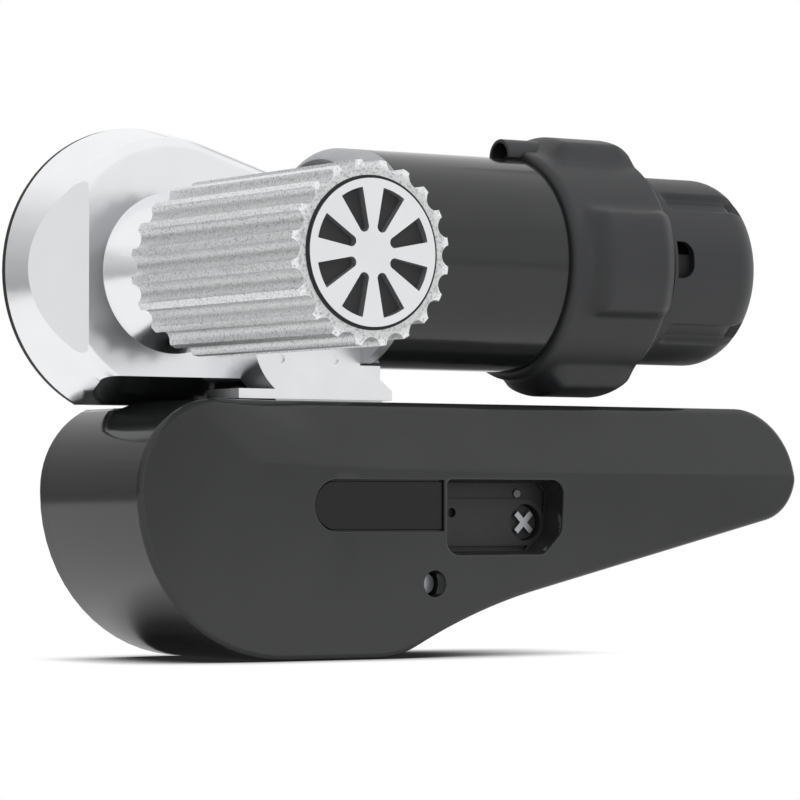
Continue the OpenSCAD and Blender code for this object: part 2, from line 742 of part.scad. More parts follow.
module rack_screws() color(dark_steel)
  for (x = rack_screw_x) screw_back([x, rack_screw_z], rack_y0, rack_w + rack_screw_in - 1);

// Foot casting with the worm wheel chamber and the worm tunnel
module foot_outline() difference() {
  union() {
    translate(counter_p) circle(chamber_r);
    polygon([
      [foot_x0, flange_z1 - 1], [foot_x0, counter_z - 6], [foot_x1, counter_z - 6],
      [foot_x1, flange_z1 + 4], [foot_x1 + 5, flange_z1], [foot_x1 + 5, flange_z1 - 1]
    ]);
  }
  translate([counter_x - chamber_r, flange_z0 + 0.4 - chamber_r]) square([2 * chamber_r, chamber_r]);
}
module drive_foot() color(bright_alloy) difference() {
  union() {
    along_y(chamber_face_y, pot_y0) foot_outline();
    block([foot_x0 - 17, foot_y0, flange_z0], [foot_x1 + 5, foot_y1, flange_z1]);
    block([neck_x0, neck_y0, carriage_top_z], [neck_x1, neck_y1, flange_z0 + eps]);
    rod_along_x(motor_p, worm_nose_r, worm_nose_x0, worm_case_x0 + 1);
    rod_along_x(motor_p, worm_case_r, worm_case_x0, shield_x);
    rod_along_x(motor_p, worm_flange_r, shield_x - worm_flange_t, shield_x);
  }
  rod_along_y(counter_p, chamber_in_r, chamber_y0, pot_y0 + eps);
  rod_along_y(counter_p, counter_bush_r, chamber_bush_y, chamber_y0 + 1);
  for (q = dimple_p) rod_along_y(q, dimple_r, chamber_face_y - 1, chamber_face_y + dimple_h);
  rod_along_x(motor_p, worm_in_r, worm_case_x0 + 2 - pass_gap, shield_x + 1);
  rod_along_x(motor_p, worm_bush_r, worm_bush_x0, worm_case_x0 + 2);
  rod_along_x(motor_p, motor_r + pass_gap, shield_x, shield_x + 40);
  rod_along_y(roller_p, roller_r + pass_gap, cap_y, roller_y1 + pass_gap);
  for (a = shield_screw_deg)
    rod_along_x(motor_p + polar(shield_screw_r, a), screw_r, shield_x - worm_flange_t - 1, shield_x + 1);
  for (x = foot_screw_x, y = foot_screw_y)
    rod_up(x, y, screw_r, carriage_top_z - 1, carriage_top_z + foot_screw_in);
  for (x = housing_screw_x) {
    rod_up(x, housing_screw_y, housing_head_r + seat_gap, flange_z0 - 1, flange_z0 + housing_head_h);
    rod_up(x, housing_screw_y, housing_screw_r + seat_gap, flange_z0, flange_z1 + 1);
  }
}
module foot_screws() color(dark_steel) for (x = foot_screw_x, y = foot_screw_y) {
  rod_up(x, y, foot_head_r, deck_z - head_h, deck_z);
  rod_up(x, y, screw_r - seat_gap, deck_z - eps, carriage_top_z + foot_screw_in - 1);
}
module housing_screws() color(dark_steel) for (x = housing_screw_x) {
  rod_up(x, housing_screw_y, housing_head_r, flange_z0, flange_z0 + housing_head_h);
  rod_up(x, housing_screw_y, housing_screw_r, flange_z0, flange_z0 + housing_screw_len);
}

// Gear pot, gasket and rear cover: a round pot with a straight top that falls towards the motor
pot_p = [roller_x, pot_z];
shoulder_p = [shoulder_x, pot_z];
wing_span = [wing_x1 - roller_x, 2 * pot_r];
module housing_outline() difference() {
  union() {
    translate(pot_p) circle(pot_r);
    intersection() {
      hull() {
        translate(pot_p) circle(pot_r);
        translate(shoulder_p) circle(shoulder_r);
      }
      translate([roller_x, wing_z0]) square(wing_span);
    }
    translate([roller_x, wing_z0]) square([wing_span[0], roller_z - wing_z0]);
  }
  translate([roller_x - pot_r, pot_floor_z - pot_r]) square([2 * pot_r, pot_r]);
}
module pot_disc(p, r) turned_y(p) polygon(concat(
  [[0, pot_y0]],
  arc([r - pot_draft - pot_round, pot_y0 + pot_round], pot_round, 270, 360),
  [[r, pot_y1], [0, pot_y1]]
));
gear_screw_p = concat(
  [for (a = gear_screw_deg) pot_p + polar(pot_r - gear_screw_set, a)],
  [for (z = wing_screw_z) [wing_x1 - 4.5, z]]
);
module gear_housing() color(alloy) difference() {
  union() {
    pot_disc(pot_p, pot_r);
    intersection() {
      hull() {
        pot_disc(pot_p, pot_r);
        pot_disc(shoulder_p, shoulder_r);
      }
      block([roller_x, pot_y0 - 1, wing_z0], [wing_x1, pot_y1 + 1, wing_z0 + wing_span[1]]);
    }
    block([roller_x, pot_y0, wing_z0], [wing_x1, pot_y1, roller_z]);
    turned_y(roller_p) polygon([
      [0, boss_y0], [boss_r0, boss_y0], [boss_r1, pot_y0], [boss_r1, pot_y0 + 1], [0, pot_y0 + 1]
    ]);
  }
  block([roller_x - pot_r - 1, pot_y0 - 1, pot_floor_z - pot_r], [wing_x1, pot_y1 + 1, pot_floor_z]);
  // slanted facets at the left and along the bottom of the front face
  translate([facet_x, pot_y0, 0]) rotate([0, 0, facet_left_deg])
    translate([-60, -60, 0]) cube([60, 120, 300]);
  translate([0, pot_y0, facet_z]) rotate([-facet_low_deg, 0, 0])
    translate([facet_low_x1 - 100, -20, -60]) cube([100, 80, 60]);
  rod_along_y(roller_p, front_cavity_r, front_cavity_y, gear_y0);
  rod_along_y(roller_p, gear_in_r, gear_y0 - 1.5, pot_y1 + 1);
  rod_along_y(counter_p, pinion_in_r, gear_y0 - 2.5, pot_y1 + 1);
  rod_along_y(counter_p, counter_r + pass_gap, pot_y0 - 1, gear_y0);
  rod_along_y(counter_p, chamber_r + seat_gap, chamber_face_y, pot_y0);
  rod_along_x(motor_p, worm_nose_r + seat_gap, worm_nose_x0 - seat_gap, wing_x1 + 1);
  rod_along_x(motor_p, worm_case_r + seat_gap, worm_case_x0 - seat_gap, wing_x1 + 1);
  rod_along_x(motor_p, worm_flange_r + seat_gap, shield_x - worm_flange_t - seat_gap, wing_x1 + 1);
  rod_along_y(roller_p, front_bearing[0], front_bearing_y0, front_cavity_y + 1);
  rod_along_y(roller_p, shaft_r + pass_gap, boss_y0 - 1, front_cavity_y);
  rod_along_y(roller_p, seal_r, boss_y0 - 1, boss_y0 + seal_t);
  for (p = gear_screw_p) rod_along_y(p, gear_screw_r, pot_y1 - gear_screw_in, pot_y1 + 1);
  for (x = housing_screw_x)
    rod_up(x, housing_screw_y, housing_screw_r, wing_z0 - 1, flange_z0 + housing_screw_len + 1);
}
module gear_gasket() color(rubber_black) along_y(pot_y1, gear_cover_y0) difference() {
  housing_outline();
  translate(roller_p) circle(gear_in_r);
  translate(counter_p) circle(pinion_in_r);
  for (p = gear_screw_p) translate(p) circle(gear_screw_r + seat_gap);
}
bearing_y0 = gear_cover_y0 + cover_recess + 1;
rear_bush_y0 = bearing_y0;
rear_bearing_y0 = bearing_y0;
rear_bearing_y1 = rear_bearing_y0 + rear_bearing[1];
module gear_cover() color(alloy) difference() {
  union() {
    along_y(gear_cover_y0, gear_cover_y1) offset(delta = -cover_inset) housing_outline();
    rod_along_y(roller_p, rear_bearing[0] + bearing_wall, gear_cover_y1 - eps,
      rear_bearing_y1 + bearing_back);
    rod_along_y(counter_p, counter_bush_r + bearing_wall, gear_cover_y1 - eps,
      rear_bush_y0 + bush_len + bearing_back);
  }
  rod_along_y(roller_p, gear_in_r, gear_cover_y0 - 1, gear_cover_y0 + cover_recess);
  rod_along_y(counter_p, pinion_in_r, gear_cover_y0 - 1, gear_cover_y0 + cover_recess);
  rod_along_y(roller_p, rear_bearing[0], gear_cover_y0, rear_bearing_y1);
  rod_along_y(counter_p, counter_bush_r, gear_cover_y0, rear_bush_y0 + bush_len);
  for (p = gear_screw_p) screw_seat(p, gear_cover_y1, gear_cover_t + 1, gear_screw_r - seat_gap);
}
module gear_screws() color(steel)
  for (p = gear_screw_p)
    screw_forward(p, gear_cover_y1, gear_cover_t + gasket_t + gear_screw_in - 2, gear_screw_r - seat_gap);
module roller_bearings() color(steel) {
  ring_along_y(roller_p, front_bearing[0], shaft_r + run_gap, front_bearing_y0, front_bearing_y1);
  ring_along_y(roller_p, rear_bearing[0], rear_shaft_r + run_gap, rear_bearing_y0, rear_bearing_y1);
}
module counter_bushes() color(bronze) {
  ring_along_y(counter_p, counter_bush_r, counter_r + run_gap, chamber_bush_y, chamber_y0);
  ring_along_y(counter_p, counter_bush_r, counter_r + run_gap, rear_bush_y0, rear_bush_y0 + bush_len);
}
module worm_bush() color(bronze)
  ring_along_x(motor_p, worm_bush_r, armature_r + run_gap, worm_bush_x0, worm_bush_x1);
module shaft_seal() color(rubber_black)
  ring_along_y(roller_p, seal_r, shaft_r + run_gap, boss_y0, boss_y0 + seal_t);

// Motor
hood_t = 3.4;
shoulder_start = pot_p + polar(pot_r, 90 - shoulder_deg);
hood_rear_z = shoulder_start[1] - (hood_x - shoulder_start[0]) * tan(shoulder_deg) + pass_gap;
module shield_hood() difference() {
  turned_x(motor_p) polygon(concat(
    arc([motor_r - hood_round, hood_x + hood_round], hood_round, 0, -58),
    arc([motor_r - hood_round, hood_x + hood_round], hood_round - hood_t, -58, 0),
    [[motor_r - hood_t, shield_x + eps], [motor_r, shield_x + eps]]
  ));
  // open below, and behind as far up as the gear pot stands
  block([hood_x - 1, motor_y - motor_r - 1, motor_z - motor_r - 1],
    [shield_x, motor_y + motor_r + 1, motor_z]);
  block([hood_x - 1, pot_y0 - pass_gap, motor_z - 1], [shield_x, motor_y + motor_r + 1, hood_rear_z]);
}
module end_shield() color(alloy) difference() {
  union() {
    turned_x(motor_p) polygon([
      [0, shield_x], [motor_r, shield_x], [motor_r, tube_x],
      [motor_r - tube_wall - seat_gap, tube_x], [motor_r - tube_wall - seat_gap, shield_x1], [0, shield_x1]
    ]);
    shield_hood();
  }
  rod_along_x(motor_p, motor_bearing_r, shield_bearing_x, shield_x1 + 1);
  rod_along_x(motor_p, motor_r - tube_wall - 4, shield_bearing_x + motor_bearing_w, shield_x1 + 1);
  rod_along_x(motor_p, armature_r + pass_gap, shield_x - 1, shield_x1);
  for (a = shield_screw_deg)
    rod_along_x(motor_p + polar(shield_screw_r, a), screw_r, shield_x - 1, shield_x + 8);
}
module shield_screws() color(steel)
  for (a = shield_screw_deg)
    rod_along_x(motor_p + polar(shield_screw_r, a), screw_r, shield_x - 5, shield_x + 8);
module motor_tube() color(gloss_grey) ring_along_x(motor_p, motor_r, motor_r - tube_wall, tube_x, tube_x1);
module magnets() color(dark_steel) difference() {
  ring_along_x(motor_p, magnet_out_r, magnet_out_r - magnet_t, magnet_x0, magnet_x0 + magnet_len);
  for (s = [-1, 1]) translate([magnet_x0 - 1, motor_y, motor_z]) rotate([s * 45, 0, 0])
    translate([0, -motor_r, -4]) cube([magnet_len + 2, 2 * motor_r, 8]);
}
module motor_bearings() color(steel) {
  for (x = [shield_bearing_x, rear_bearing_x])
    ring_along_x(motor_p, motor_bearing_r, armature_r + run_gap, x, x + motor_bearing_w);
}
module brush_holder() color(black_plastic) difference() {
  union() {
    ring_along_x(motor_p, holder_r, commutator_r + 3, holder_x0, holder_x0 + holder_len);
    ring_along_x(motor_p, holder_back_r, motor_bearing_r, holder_x0 + holder_len - eps, armature_x1);
  }
  for (a = [0 : 90 : 270]) translate([holder_x0 + 4, motor_y, motor_z]) rotate([a, 0, 0])
    translate([0, -3, commutator_r]) cube([8, 6, brush_len + 4]);
}
module brushes() color(dark_steel)
  for (a = [0 : 90 : 270]) translate([holder_x0 + 4, motor_y, motor_z]) rotate([a, 0, 0])
    translate([0, -3, commutator_r + 0.3]) cube([8, 6, brush_len]);
duct_p = [motor_y - 2, motor_z + motor_r + 0.4];
duct_r = 6.5;
duct_wall = 1.5;
module motor_shroud() color(satin_grey) difference() {
  union() {
    turned_x(motor_p) polygon([
      [shroud_in_r, shroud_x0], [shroud_in_r, shroud_x1 + 2], [motor_r - 1, shroud_x1 + 2],
      [motor_r + shroud_t, shroud_x1 - 4], [motor_r + shroud_t, shroud_x0 + 1],
      [motor_r + shroud_t - 1, shroud_x0]
    ]);
    for (a = [0 : 90 : 270])
      translate([0, motor_y, motor_z]) rotate([0, 90, 0]) rotate([0, 0, a - bump_deg])
        rotate_extrude(angle = 2 * bump_deg) polygon([
          [motor_r + 1, shroud_x0 + 5], [motor_r + bump_h, shroud_x0 + 14],
          [motor_r + bump_h, shroud_x1 - 7], [motor_r + 1, shroud_x1 - 1]
        ]);
    rod_along_x(duct_p, duct_r, shroud_x0 - 5.3, shroud_x0 + 20);
  }
  rod_along_x(motor_p, motor_r + seat_gap, shroud_x0 - 20, tube_x1 + seat_gap);
  rod_along_x(duct_p, duct_r - duct_wall, shroud_x0 - 6.3, shroud_x0 + 14);
}
module motor_end_cap() color(satin_grey) difference() {
  turned_x(motor_p) polygon(concat(
    [[0, endcap_x1]],
    [for (p = arc([endcap_r - endcap_round, endcap_x1 - endcap_round], endcap_round, 90, 0)) p],
    [
      [endcap_r, endcap_x0 + 3], [shroud_in_r - seat_gap, endcap_x0 + 3],
      [shroud_in_r - seat_gap, endcap_x0 - 1],
      [endcap_r - endcap_wall, endcap_x0 - 1],
      [endcap_r - endcap_wall, endcap_x1 - endcap_round],
      [endcap_r - endcap_round, endcap_x1 - endcap_wall],
      [0, endcap_x1 - endcap_wall]
    ]
  ));
  for (a = [45 : 90 : 315]) translate([endcap_x0 + 9, motor_y, motor_z]) rotate([a, 0, 0])
    translate([0, -5, endcap_r - 2.2]) cube([endcap_len, 10, 10]);
  block(
    [endcap_x0 + 5, motor_y - endcap_r - 1, motor_z - 5],
    [endcap_x0 + 11, motor_y - endcap_r + 6, motor_z + 8]
  );
}

// Roller and its shaft
seal_w = 1;
window_in = cap_r * 0.375;
window_out = cap_r * 0.887;
window_end_r = cap_r * 0.075;
window_deg = 93 / window_count;
flute_out = 0.5;
bolt_head_r = 9;
bolt_hex_r = 7.5;
roller_bolt_r = 4;
counterbore_r = 14;
counterbore_y = cap_y + 24;
shaft_y0 = counterbore_y + 4;
module roller() color(bright_alloy) difference() {
  turned_y(roller_p) polygon([
    [0, roller_y0], [roller_r - 2, roller_y0], [roller_r, roller_y0 + 2.4], [roller_r, roller_y1 - 1],
    [roller_r - 1, roller_y1], [0, roller_y1]
  ]);
  for (i = [0 : flute_count - 1]) rod_along_y(
    roller_p + polar(roller_r + flute_out, 360 * i / flute_count), flute_r, roller_y0 - 1, roller_y1 + 1);
  rod_along_y(roller_p, cap_r + seal_w, roller_y0 - 1, roller_y0 + rim_recess);
  rod_along_y(roller_p, counterbore_r, roller_y0, counterbore_y);
  rod_along_y(roller_p, roller_bolt_r + seat_gap, counterbore_y - 1, shaft_y0 + 1);
  rod_along_y(roller_p, shaft_r, shaft_y0, roller_y1 + 1);
  key_slot(key_y[0]);
}
module roller_cap() color(bright_alloy) along_y(cap_y, cap_y + cap_t) translate(roller_p) difference() {
  circle(cap_r);
  for (i = [0 : window_count - 1]) rotate(360 * (i + 0.5) / window_count) {
    translate([window_in, 0]) circle(window_end_r);
    polygon(concat(
      [[window_in, window_end_r], [window_in, -window_end_r]],
      arc([0, 0], window_out, -window_deg, window_deg)
    ));
  }
}
module cap_backing() color(black_plastic)
  rod_along_y(roller_p, cap_r, cap_y + cap_t, roller_y0 + rim_recess);
module cap_seal() color(rubber_black)
  ring_along_y(roller_p, cap_r + seal_w, cap_r, cap_y + 0.6, roller_y0 + rim_recess);
key_y = [roller_y1 - 26, gear_y0 + 1];
key_len = 8;
key_w = 5;
module key_shape(y, grow) block(
  [roller_x - key_w / 2 - grow, y - grow, roller_z + shaft_r - 2.5 - grow],
  [roller_x + key_w / 2 + grow, y + key_len + grow, roller_z + shaft_r + 2 + grow]
);
module key_slot(y) block(
  [roller_x - key_w / 2 - seat_gap, y - seat_gap, roller_z],
  [roller_x + key_w / 2 + seat_gap, roller_y1 + 1, roller_z + shaft_r + 2 + seat_gap]
);
module shaft_keys() color(dark_steel) for (y = key_y) key_shape(y, 0);
module roller_shaft() color(steel) difference() {
  turned_y(roller_p) polygon([
    [0, shaft_y0], [shaft_r, shaft_y0], [shaft_r, gear_y0 + gear_w + 0.5],
    [rear_shaft_r, gear_y0 + gear_w + 0.5], [rear_shaft_r, rear_bearing_y1 - 0.5],
    [0, rear_bearing_y1 - 0.5]
  ]);
  for (y = key_y) key_shape(y, seat_gap);
  rod_along_y(roller_p, roller_bolt_r, counterbore_y, counterbore_y + 24);
}
module roller_bolt() color(steel) {
  rod_along_y(roller_p, bolt_head_r, counterbore_y - 2, counterbore_y);
  hex_along_y(roller_p, bolt_hex_r, counterbore_y - 8, counterbore_y - 2 + eps);
  rod_along_y(roller_p, roller_bolt_r - seat_gap, counterbore_y - eps, counterbore_y + 22);
}

// Gears
module main_gear() color(steel) difference() {
  translate([roller_x, 0, roller_z]) along_y(gear_y0, gear_y0 + gear_w)
    polygon(gear_points(main_teeth, spur_module, spur_s, gear_tip, gear_root, mesh_deg));
  rod_along_y(roller_p, shaft_r, gear_y0 - 1, gear_y0 + gear_w + 1);
  block([roller_x - key_w / 2 - seat_gap, gear_y0 - 1, roller_z],
    [roller_x + key_w / 2 + seat_gap, gear_y0 + gear_w + 1, roller_z + shaft_r + 2 + seat_gap]);
}
counter_y1 = rear_bush_y0 + bush_len - 0.5;
wheel_y0 = motor_y - wheel_w / 2;
module counter_shaft() color(steel) {
  rod_along_y(counter_p, counter_r, chamber_bush_y + 0.2, wheel_y0);
  rod_along_y(counter_p, counter_r, wheel_y0 + wheel_w, gear_y0 - 1);
  rod_along_y(counter_p, counter_r, gear_y0 + gear_w + 1, counter_y1);
  for (y = [[wheel_y0, wheel_y0 + wheel_w], [gear_y0 - 1, gear_y0 + gear_w + 1]])
    hex_along_y(counter_p, counter_r, y[0] - eps, y[1] + eps);
}
module worm_wheel() color(bronze) difference() {
  translate([counter_x, 0, counter_z]) along_y(wheel_y0, wheel_y0 + wheel_w)
    polygon(gear_points(wheel_teeth, worm_module, wheel_s, wheel_tip, 1, 90));
  hex_along_y(counter_p, counter_r, wheel_y0 - 1, wheel_y0 + wheel_w + 1);
}
module spur_pinion() color(steel) difference() {
  translate([counter_x, 0, counter_z]) along_y(gear_y0 - 1, gear_y0 + gear_w + 1)
    polygon(gear_points(pinion_teeth, spur_module, spur_s, gear_tip, gear_root, pinion_turn));
  hex_along_y(counter_p, counter_r, gear_y0 - 2, gear_y0 + gear_w + 2);
}

// Armature with the worm on the end of its shaft
worm_steps = 16;
worm_rings = ceil(worm_steps * worm_len / worm_pitch);
thread_half = 1.1;
function worm_radius(u) =
  let (
    tip_half = thread_half - worm_tip * worm_module * tan_flank,
    root_half = thread_half + worm_root * worm_module * tan_flank,
    share = (abs(u) - tip_half) / (root_half - tip_half)
  )
    worm_tip_r - (worm_tip_r - worm_root_r) * min(1, max(0, share));
module armature_shaft() color(steel) {
  rod_along_x(motor_p, armature_r, worm_bush_x0 + 0.5, counter_x - worm_len / 2);
  rod_along_x(motor_p, armature_r, counter_x + worm_len / 2, armature_x1);
  hex_along_x(motor_p, armature_r, counter_x - worm_len / 2 - eps, counter_x + worm_len / 2 + eps);
}
function worm_point(j, i) =
  let (
    x = worm_len * (j / worm_rings - 0.5),
    share = i / worm_steps,
    r = worm_radius((share < 0.5 ? share : share - 1) * worm_pitch),
    turn = 90 + 360 * share + 360 * x / worm_pitch
  )
    [counter_x + x, motor_y + r * cos(turn), motor_z + r * sin(turn)];
module worm() color(steel) difference() {
  polyhedron(
    points = [for (j = [0 : worm_rings], i = [0 : worm_steps - 1]) worm_point(j, i)],
    faces = concat(
      [[for (i = [0 : worm_steps - 1]) i]],
      [for (b = [0 : worm_steps : (worm_rings - 1) * worm_steps], i = [0 : worm_steps - 1])
        [b + i, b + worm_steps + i, b + worm_steps + (i + 1) % worm_steps]],
      [for (b = [0 : worm_steps : (worm_rings - 1) * worm_steps], i = [0 : worm_steps - 1])
        [b + i, b + worm_steps + (i + 1) % worm_steps, b + (i + 1) % worm_steps]],
      [[for (i = [worm_steps - 1 : -1 : 0]) worm_rings * worm_steps + i]]
    )
  );
  hex_along_x(motor_p, armature_r, counter_x - worm_len / 2 - 1, counter_x + worm_len / 2 + 1);
}
module armature_core() color(dark_steel) difference() {
  rod_along_x(motor_p, core_r, core_x0, core_x0 + core_len);
  rod_along_x(motor_p, armature_r, core_x0 - 1, core_x0 + core_len + 1);
  for (i = [0 : 11]) translate([core_x0 - 1, motor_y, motor_z]) rotate([30 * i, 0, 0])
    translate([0, -1.2, core_r - 7]) cube([core_len + 2, 2.4, 8]);
}
module windings() color(copper)
  for (x = [core_x0 - 9, core_x0 + core_len])
    ring_along_x(motor_p, core_r - 4, armature_r + 1, x, x + 9);
module commutator() color(copper)
  ring_along_x(motor_p, commutator_r, armature_r, commutator_x0, commutator_x0 + commutator_len);

mount_plate();
weld_nuts();
cover_shell();
cover_screws();
cover_post();
badge_plate();
pocket_tray();
lock_pip();
rod_brackets();
plate_screws();
guide_rods();
engage_bracket();
engage_bushes();
engage_shaft();
engage_pinion();
carriage();
carriage_bushes();
rack();
rack_screws();
drive_foot();
foot_screws();
housing_screws();
gear_housing();
gear_gasket();
gear_cover();
gear_screws();
roller_bearings();
counter_bushes();
worm_bush();
shaft_seal();
end_shield();
shield_screws();
motor_tube();
magnets();
motor_bearings();
brush_holder();
brushes();
motor_shroud();
motor_end_cap();
roller();
roller_cap();
cap_backing();
cap_seal();
roller_shaft();
roller_bolt();
shaft_keys();
main_gear();
counter_shaft();
worm_wheel();
spur_pinion();
armature_shaft();
worm();
armature_core();
windings();
commutator();
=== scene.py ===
"""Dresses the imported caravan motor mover: smooth skins over its solids, finishes, studio and camera."""

import json
import math

import bmesh
import bpy
from bpy.props import FloatProperty, FloatVectorProperty, IntProperty, PointerProperty
from mathutils import Matrix, Vector


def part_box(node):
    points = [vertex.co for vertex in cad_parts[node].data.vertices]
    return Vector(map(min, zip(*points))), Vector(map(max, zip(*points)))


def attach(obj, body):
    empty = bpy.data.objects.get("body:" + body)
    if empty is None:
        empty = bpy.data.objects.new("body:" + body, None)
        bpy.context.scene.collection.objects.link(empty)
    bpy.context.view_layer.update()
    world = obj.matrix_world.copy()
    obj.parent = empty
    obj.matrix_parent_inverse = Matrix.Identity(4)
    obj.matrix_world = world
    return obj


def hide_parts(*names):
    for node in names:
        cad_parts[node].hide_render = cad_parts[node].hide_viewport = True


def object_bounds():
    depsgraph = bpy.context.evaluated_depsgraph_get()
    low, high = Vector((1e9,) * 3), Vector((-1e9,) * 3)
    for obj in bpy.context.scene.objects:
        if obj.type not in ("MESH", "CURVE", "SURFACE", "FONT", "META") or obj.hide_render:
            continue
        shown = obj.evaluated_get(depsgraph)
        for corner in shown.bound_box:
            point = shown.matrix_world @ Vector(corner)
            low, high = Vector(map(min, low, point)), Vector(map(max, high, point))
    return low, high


bl_info = {
    "name": "Caravan Motor Mover",
    "version": (1, 0, 0),
    "blender": (4, 5, 0),
    "location": "View3D > Sidebar > Mover",
    "description": "Skins, finishes and studio for a caravan motor mover",
    "category": "Object",
}

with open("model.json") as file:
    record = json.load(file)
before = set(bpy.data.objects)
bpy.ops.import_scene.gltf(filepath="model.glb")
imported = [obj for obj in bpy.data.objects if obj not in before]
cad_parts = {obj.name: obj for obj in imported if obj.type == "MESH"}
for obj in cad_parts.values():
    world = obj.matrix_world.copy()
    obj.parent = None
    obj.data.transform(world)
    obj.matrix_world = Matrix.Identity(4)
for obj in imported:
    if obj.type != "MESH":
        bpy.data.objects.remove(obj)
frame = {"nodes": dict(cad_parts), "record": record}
CAD_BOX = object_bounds()
MM = 0.001
BODY_OF = {
    node: body
    for body, nodes in frame["record"]["behaviour"]["bodies"].items()
    for node in nodes
}


def middle(node):
    """Middle of a CAD node's box."""
    low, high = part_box(node)
    return (low + high) / 2


COVER_LOW, COVER_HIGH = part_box("cover_shell")
TUBE_LOW, TUBE_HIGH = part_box("motor_tube")
SHROUD_LOW, SHROUD_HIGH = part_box("motor_shroud")
CAP_LOW, CAP_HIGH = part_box("motor_end_cap")
MOTOR_AXIS = middle("motor_tube")
TUBE_R = (TUBE_HIGH.z - TUBE_LOW.z) / 2
POST_AXIS = middle("cover_post")
ROLLER_R = (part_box("roller")[1].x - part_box("roller")[0].x) / 2

# slot in the top of the cover that the neck of the foot slides in
FOOT_SLOT_X = (-62 * MM, 16 * MM)
FOOT_SLOT_Y = (-60.5 * MM, -39 * MM)
# how far a cutter stands out past what it cuts
BEYOND = 10 * MM
# vertices closer than this are one, and a vertex closer than this to a plane lies on it
WELD = 2e-6
ON_PLANE = 1e-7
QUARTER = math.pi / 2

# what the screens and lamps face, and the camera's place and turn
AIM = Vector((0.03, -0.07, 0.05))
EYE = (-0.7255, -1.1965, 0.0011)
EYE_TURN = (math.radians(91.68), 0, math.radians(-33.30))
WHITE = (1, 1, 1, 1)


def linear(code):
    """sRGB hex text as a linear colour with alpha."""
    parts = [int(code[i:i + 2], 16) / 255 for i in (1, 3, 5)]
    return tuple(c / 12.92 if c <= 0.04045 else ((c + 0.055) / 1.055) ** 2.4 for c in parts) + (1.0,)


def length(name, description, default):
    """A size in metres that a user may change."""
    return FloatProperty(name=name, description=description, default=default, unit="LENGTH", precision=5)


def angle(name, description, degrees):
    """An angle that a user may change, from degrees."""
    return FloatProperty(name=name, description=description, default=math.radians(degrees), subtype="ANGLE")


def colour(name, description, code):
    """A colour that a user may change, from its sRGB hex value."""
    return FloatVectorProperty(
        name=name, description=description, default=linear(code), size=4, subtype="COLOR", min=0.0, max=1.0
    )


class MoverSizes(bpy.types.PropertyGroup):
    """Sizes of the skins"""

    fine_edge: length("Fine edge", "Rounding of machined and moulded edges", 0.4 * MM)
    roller_edge: length("Roller edge", "Rounding of the ridges of the roller", 0.45 * MM)
    roller_reach: length("Roller reach", "How far the fluted end reaches forward round the seal", 1.0 * MM)
    pot_edge: length("Pot edge", "Rounding of the facets of the gear pot", 1.2 * MM)
    pot_rim: length("Pot rim", "Rounding of the rear rim of the gear pot", 2.4 * MM)
    cover_wall: length("Cover wall", "Wall of the moulded cover", 3.0 * MM)
    cover_rim: length("Cover rim", "Rounding of the front rim of the cover", 2.2 * MM)
    crease_drop: length("Crease drop", "Crease of the brow below the top of the cover", 23.0 * MM)
    crease_soft: length("Crease softness", "Half height of the soft crease under the brow", 0.9 * MM)
    brow_start: length("Brow start", "Left end of the brow's top, left of the front screw", 98.0 * MM)
    brow_slant: length("Brow slant", "How far the brow's left end slants to the right going down", 24.0 * MM)
    brow_ramp: length("Brow ramp", "Length over which the brow's left end fades in", 44.0 * MM)
    brow_lean: angle("Brow lean", "Slope of the brow", 18)
    brow_droop: angle("Brow droop", "Fall of the crease towards the tail", 1.2)
    opening_edge: length("Opening edge", "Rounding of small edges of the cover", 0.5 * MM)
    pocket_edge: length("Pocket edge", "Rounding of the edge of the pocket", 1.2 * MM)
    badge_edge: length("Badge edge", "Rounding of the edge round the badge plate", 0.8 * MM)
    badge_set: length("Badge set", "How far the badge plate lies back in its recess", 0.7 * MM)
    shroud_wall: length("Shroud wall", "Thickness of the shroud over the tube", 3.0 * MM)
    bump_angle: angle("Bump angle", "Half angle of one bump of the shroud", 24.5)
    groove_width: length("Groove width", "Width of the channels along the end cap", 7.4 * MM)
    groove_depth: length("Groove depth", "Depth of the channels along the end cap", 2.7 * MM)
    turn_steps: IntProperty(name="Turn steps", description="Steps of a turned skin", default=192, min=48)


class MoverColours(bpy.types.PropertyGroup):
    """Colours of the finishes"""

    cover: colour("Cover", "Gloss of the moulded cover", "#272928")
    motor: colour("Motor", "Gloss paint of the motor tube", "#1e201f")
    shroud: colour("Shroud", "Satin plastic of the shroud and end cap", "#242527")
    tray: colour("Tray", "Matt plastic of the tray and the badge plate", "#1d1d1e")
    bright: colour("Bright alloy", "Polished alloy of the gear pot", "#f1f2f4")
    cast: colour("Cast alloy", "Machined face of the foot", "#f0f1f3")
    # the shield's grey is partly painted shade, darker than the alloy of the foot and cap
    shield: colour("Shield", "Blasted alloy of the motor's end shield", "#b2b4b7")
    cap: colour("Cap", "Anodised face of the roller cap", "#eeeff1")
    grit: colour("Grit", "Bright grains on the roller", "#f2f3f4")
    steel: colour("Steel", "Zinc plated steel", "#b4b7bb")
    paint: colour("Painted steel", "Powder coat of the plate and brackets", "#2a2b2d")
    rubber: colour("Rubber", "Seals and gasket", "#121213")


class MoverStudio(bpy.types.PropertyGroup):
    """Camera and light"""

    lens: FloatProperty(name="Lens", description="Focal length in millimetres", default=172.8, unit="CAMERA")
    key: FloatProperty(name="Key", description="Power of the key lamp in watts", default=18.0, unit="POWER")
    fill: FloatProperty(name="Fill", description="Power of the fill lamp in watts", default=3.0, unit="POWER")
    sky: FloatProperty(name="Sky", description="Light of the surroundings on matt surfaces", default=0.42)


# Materials


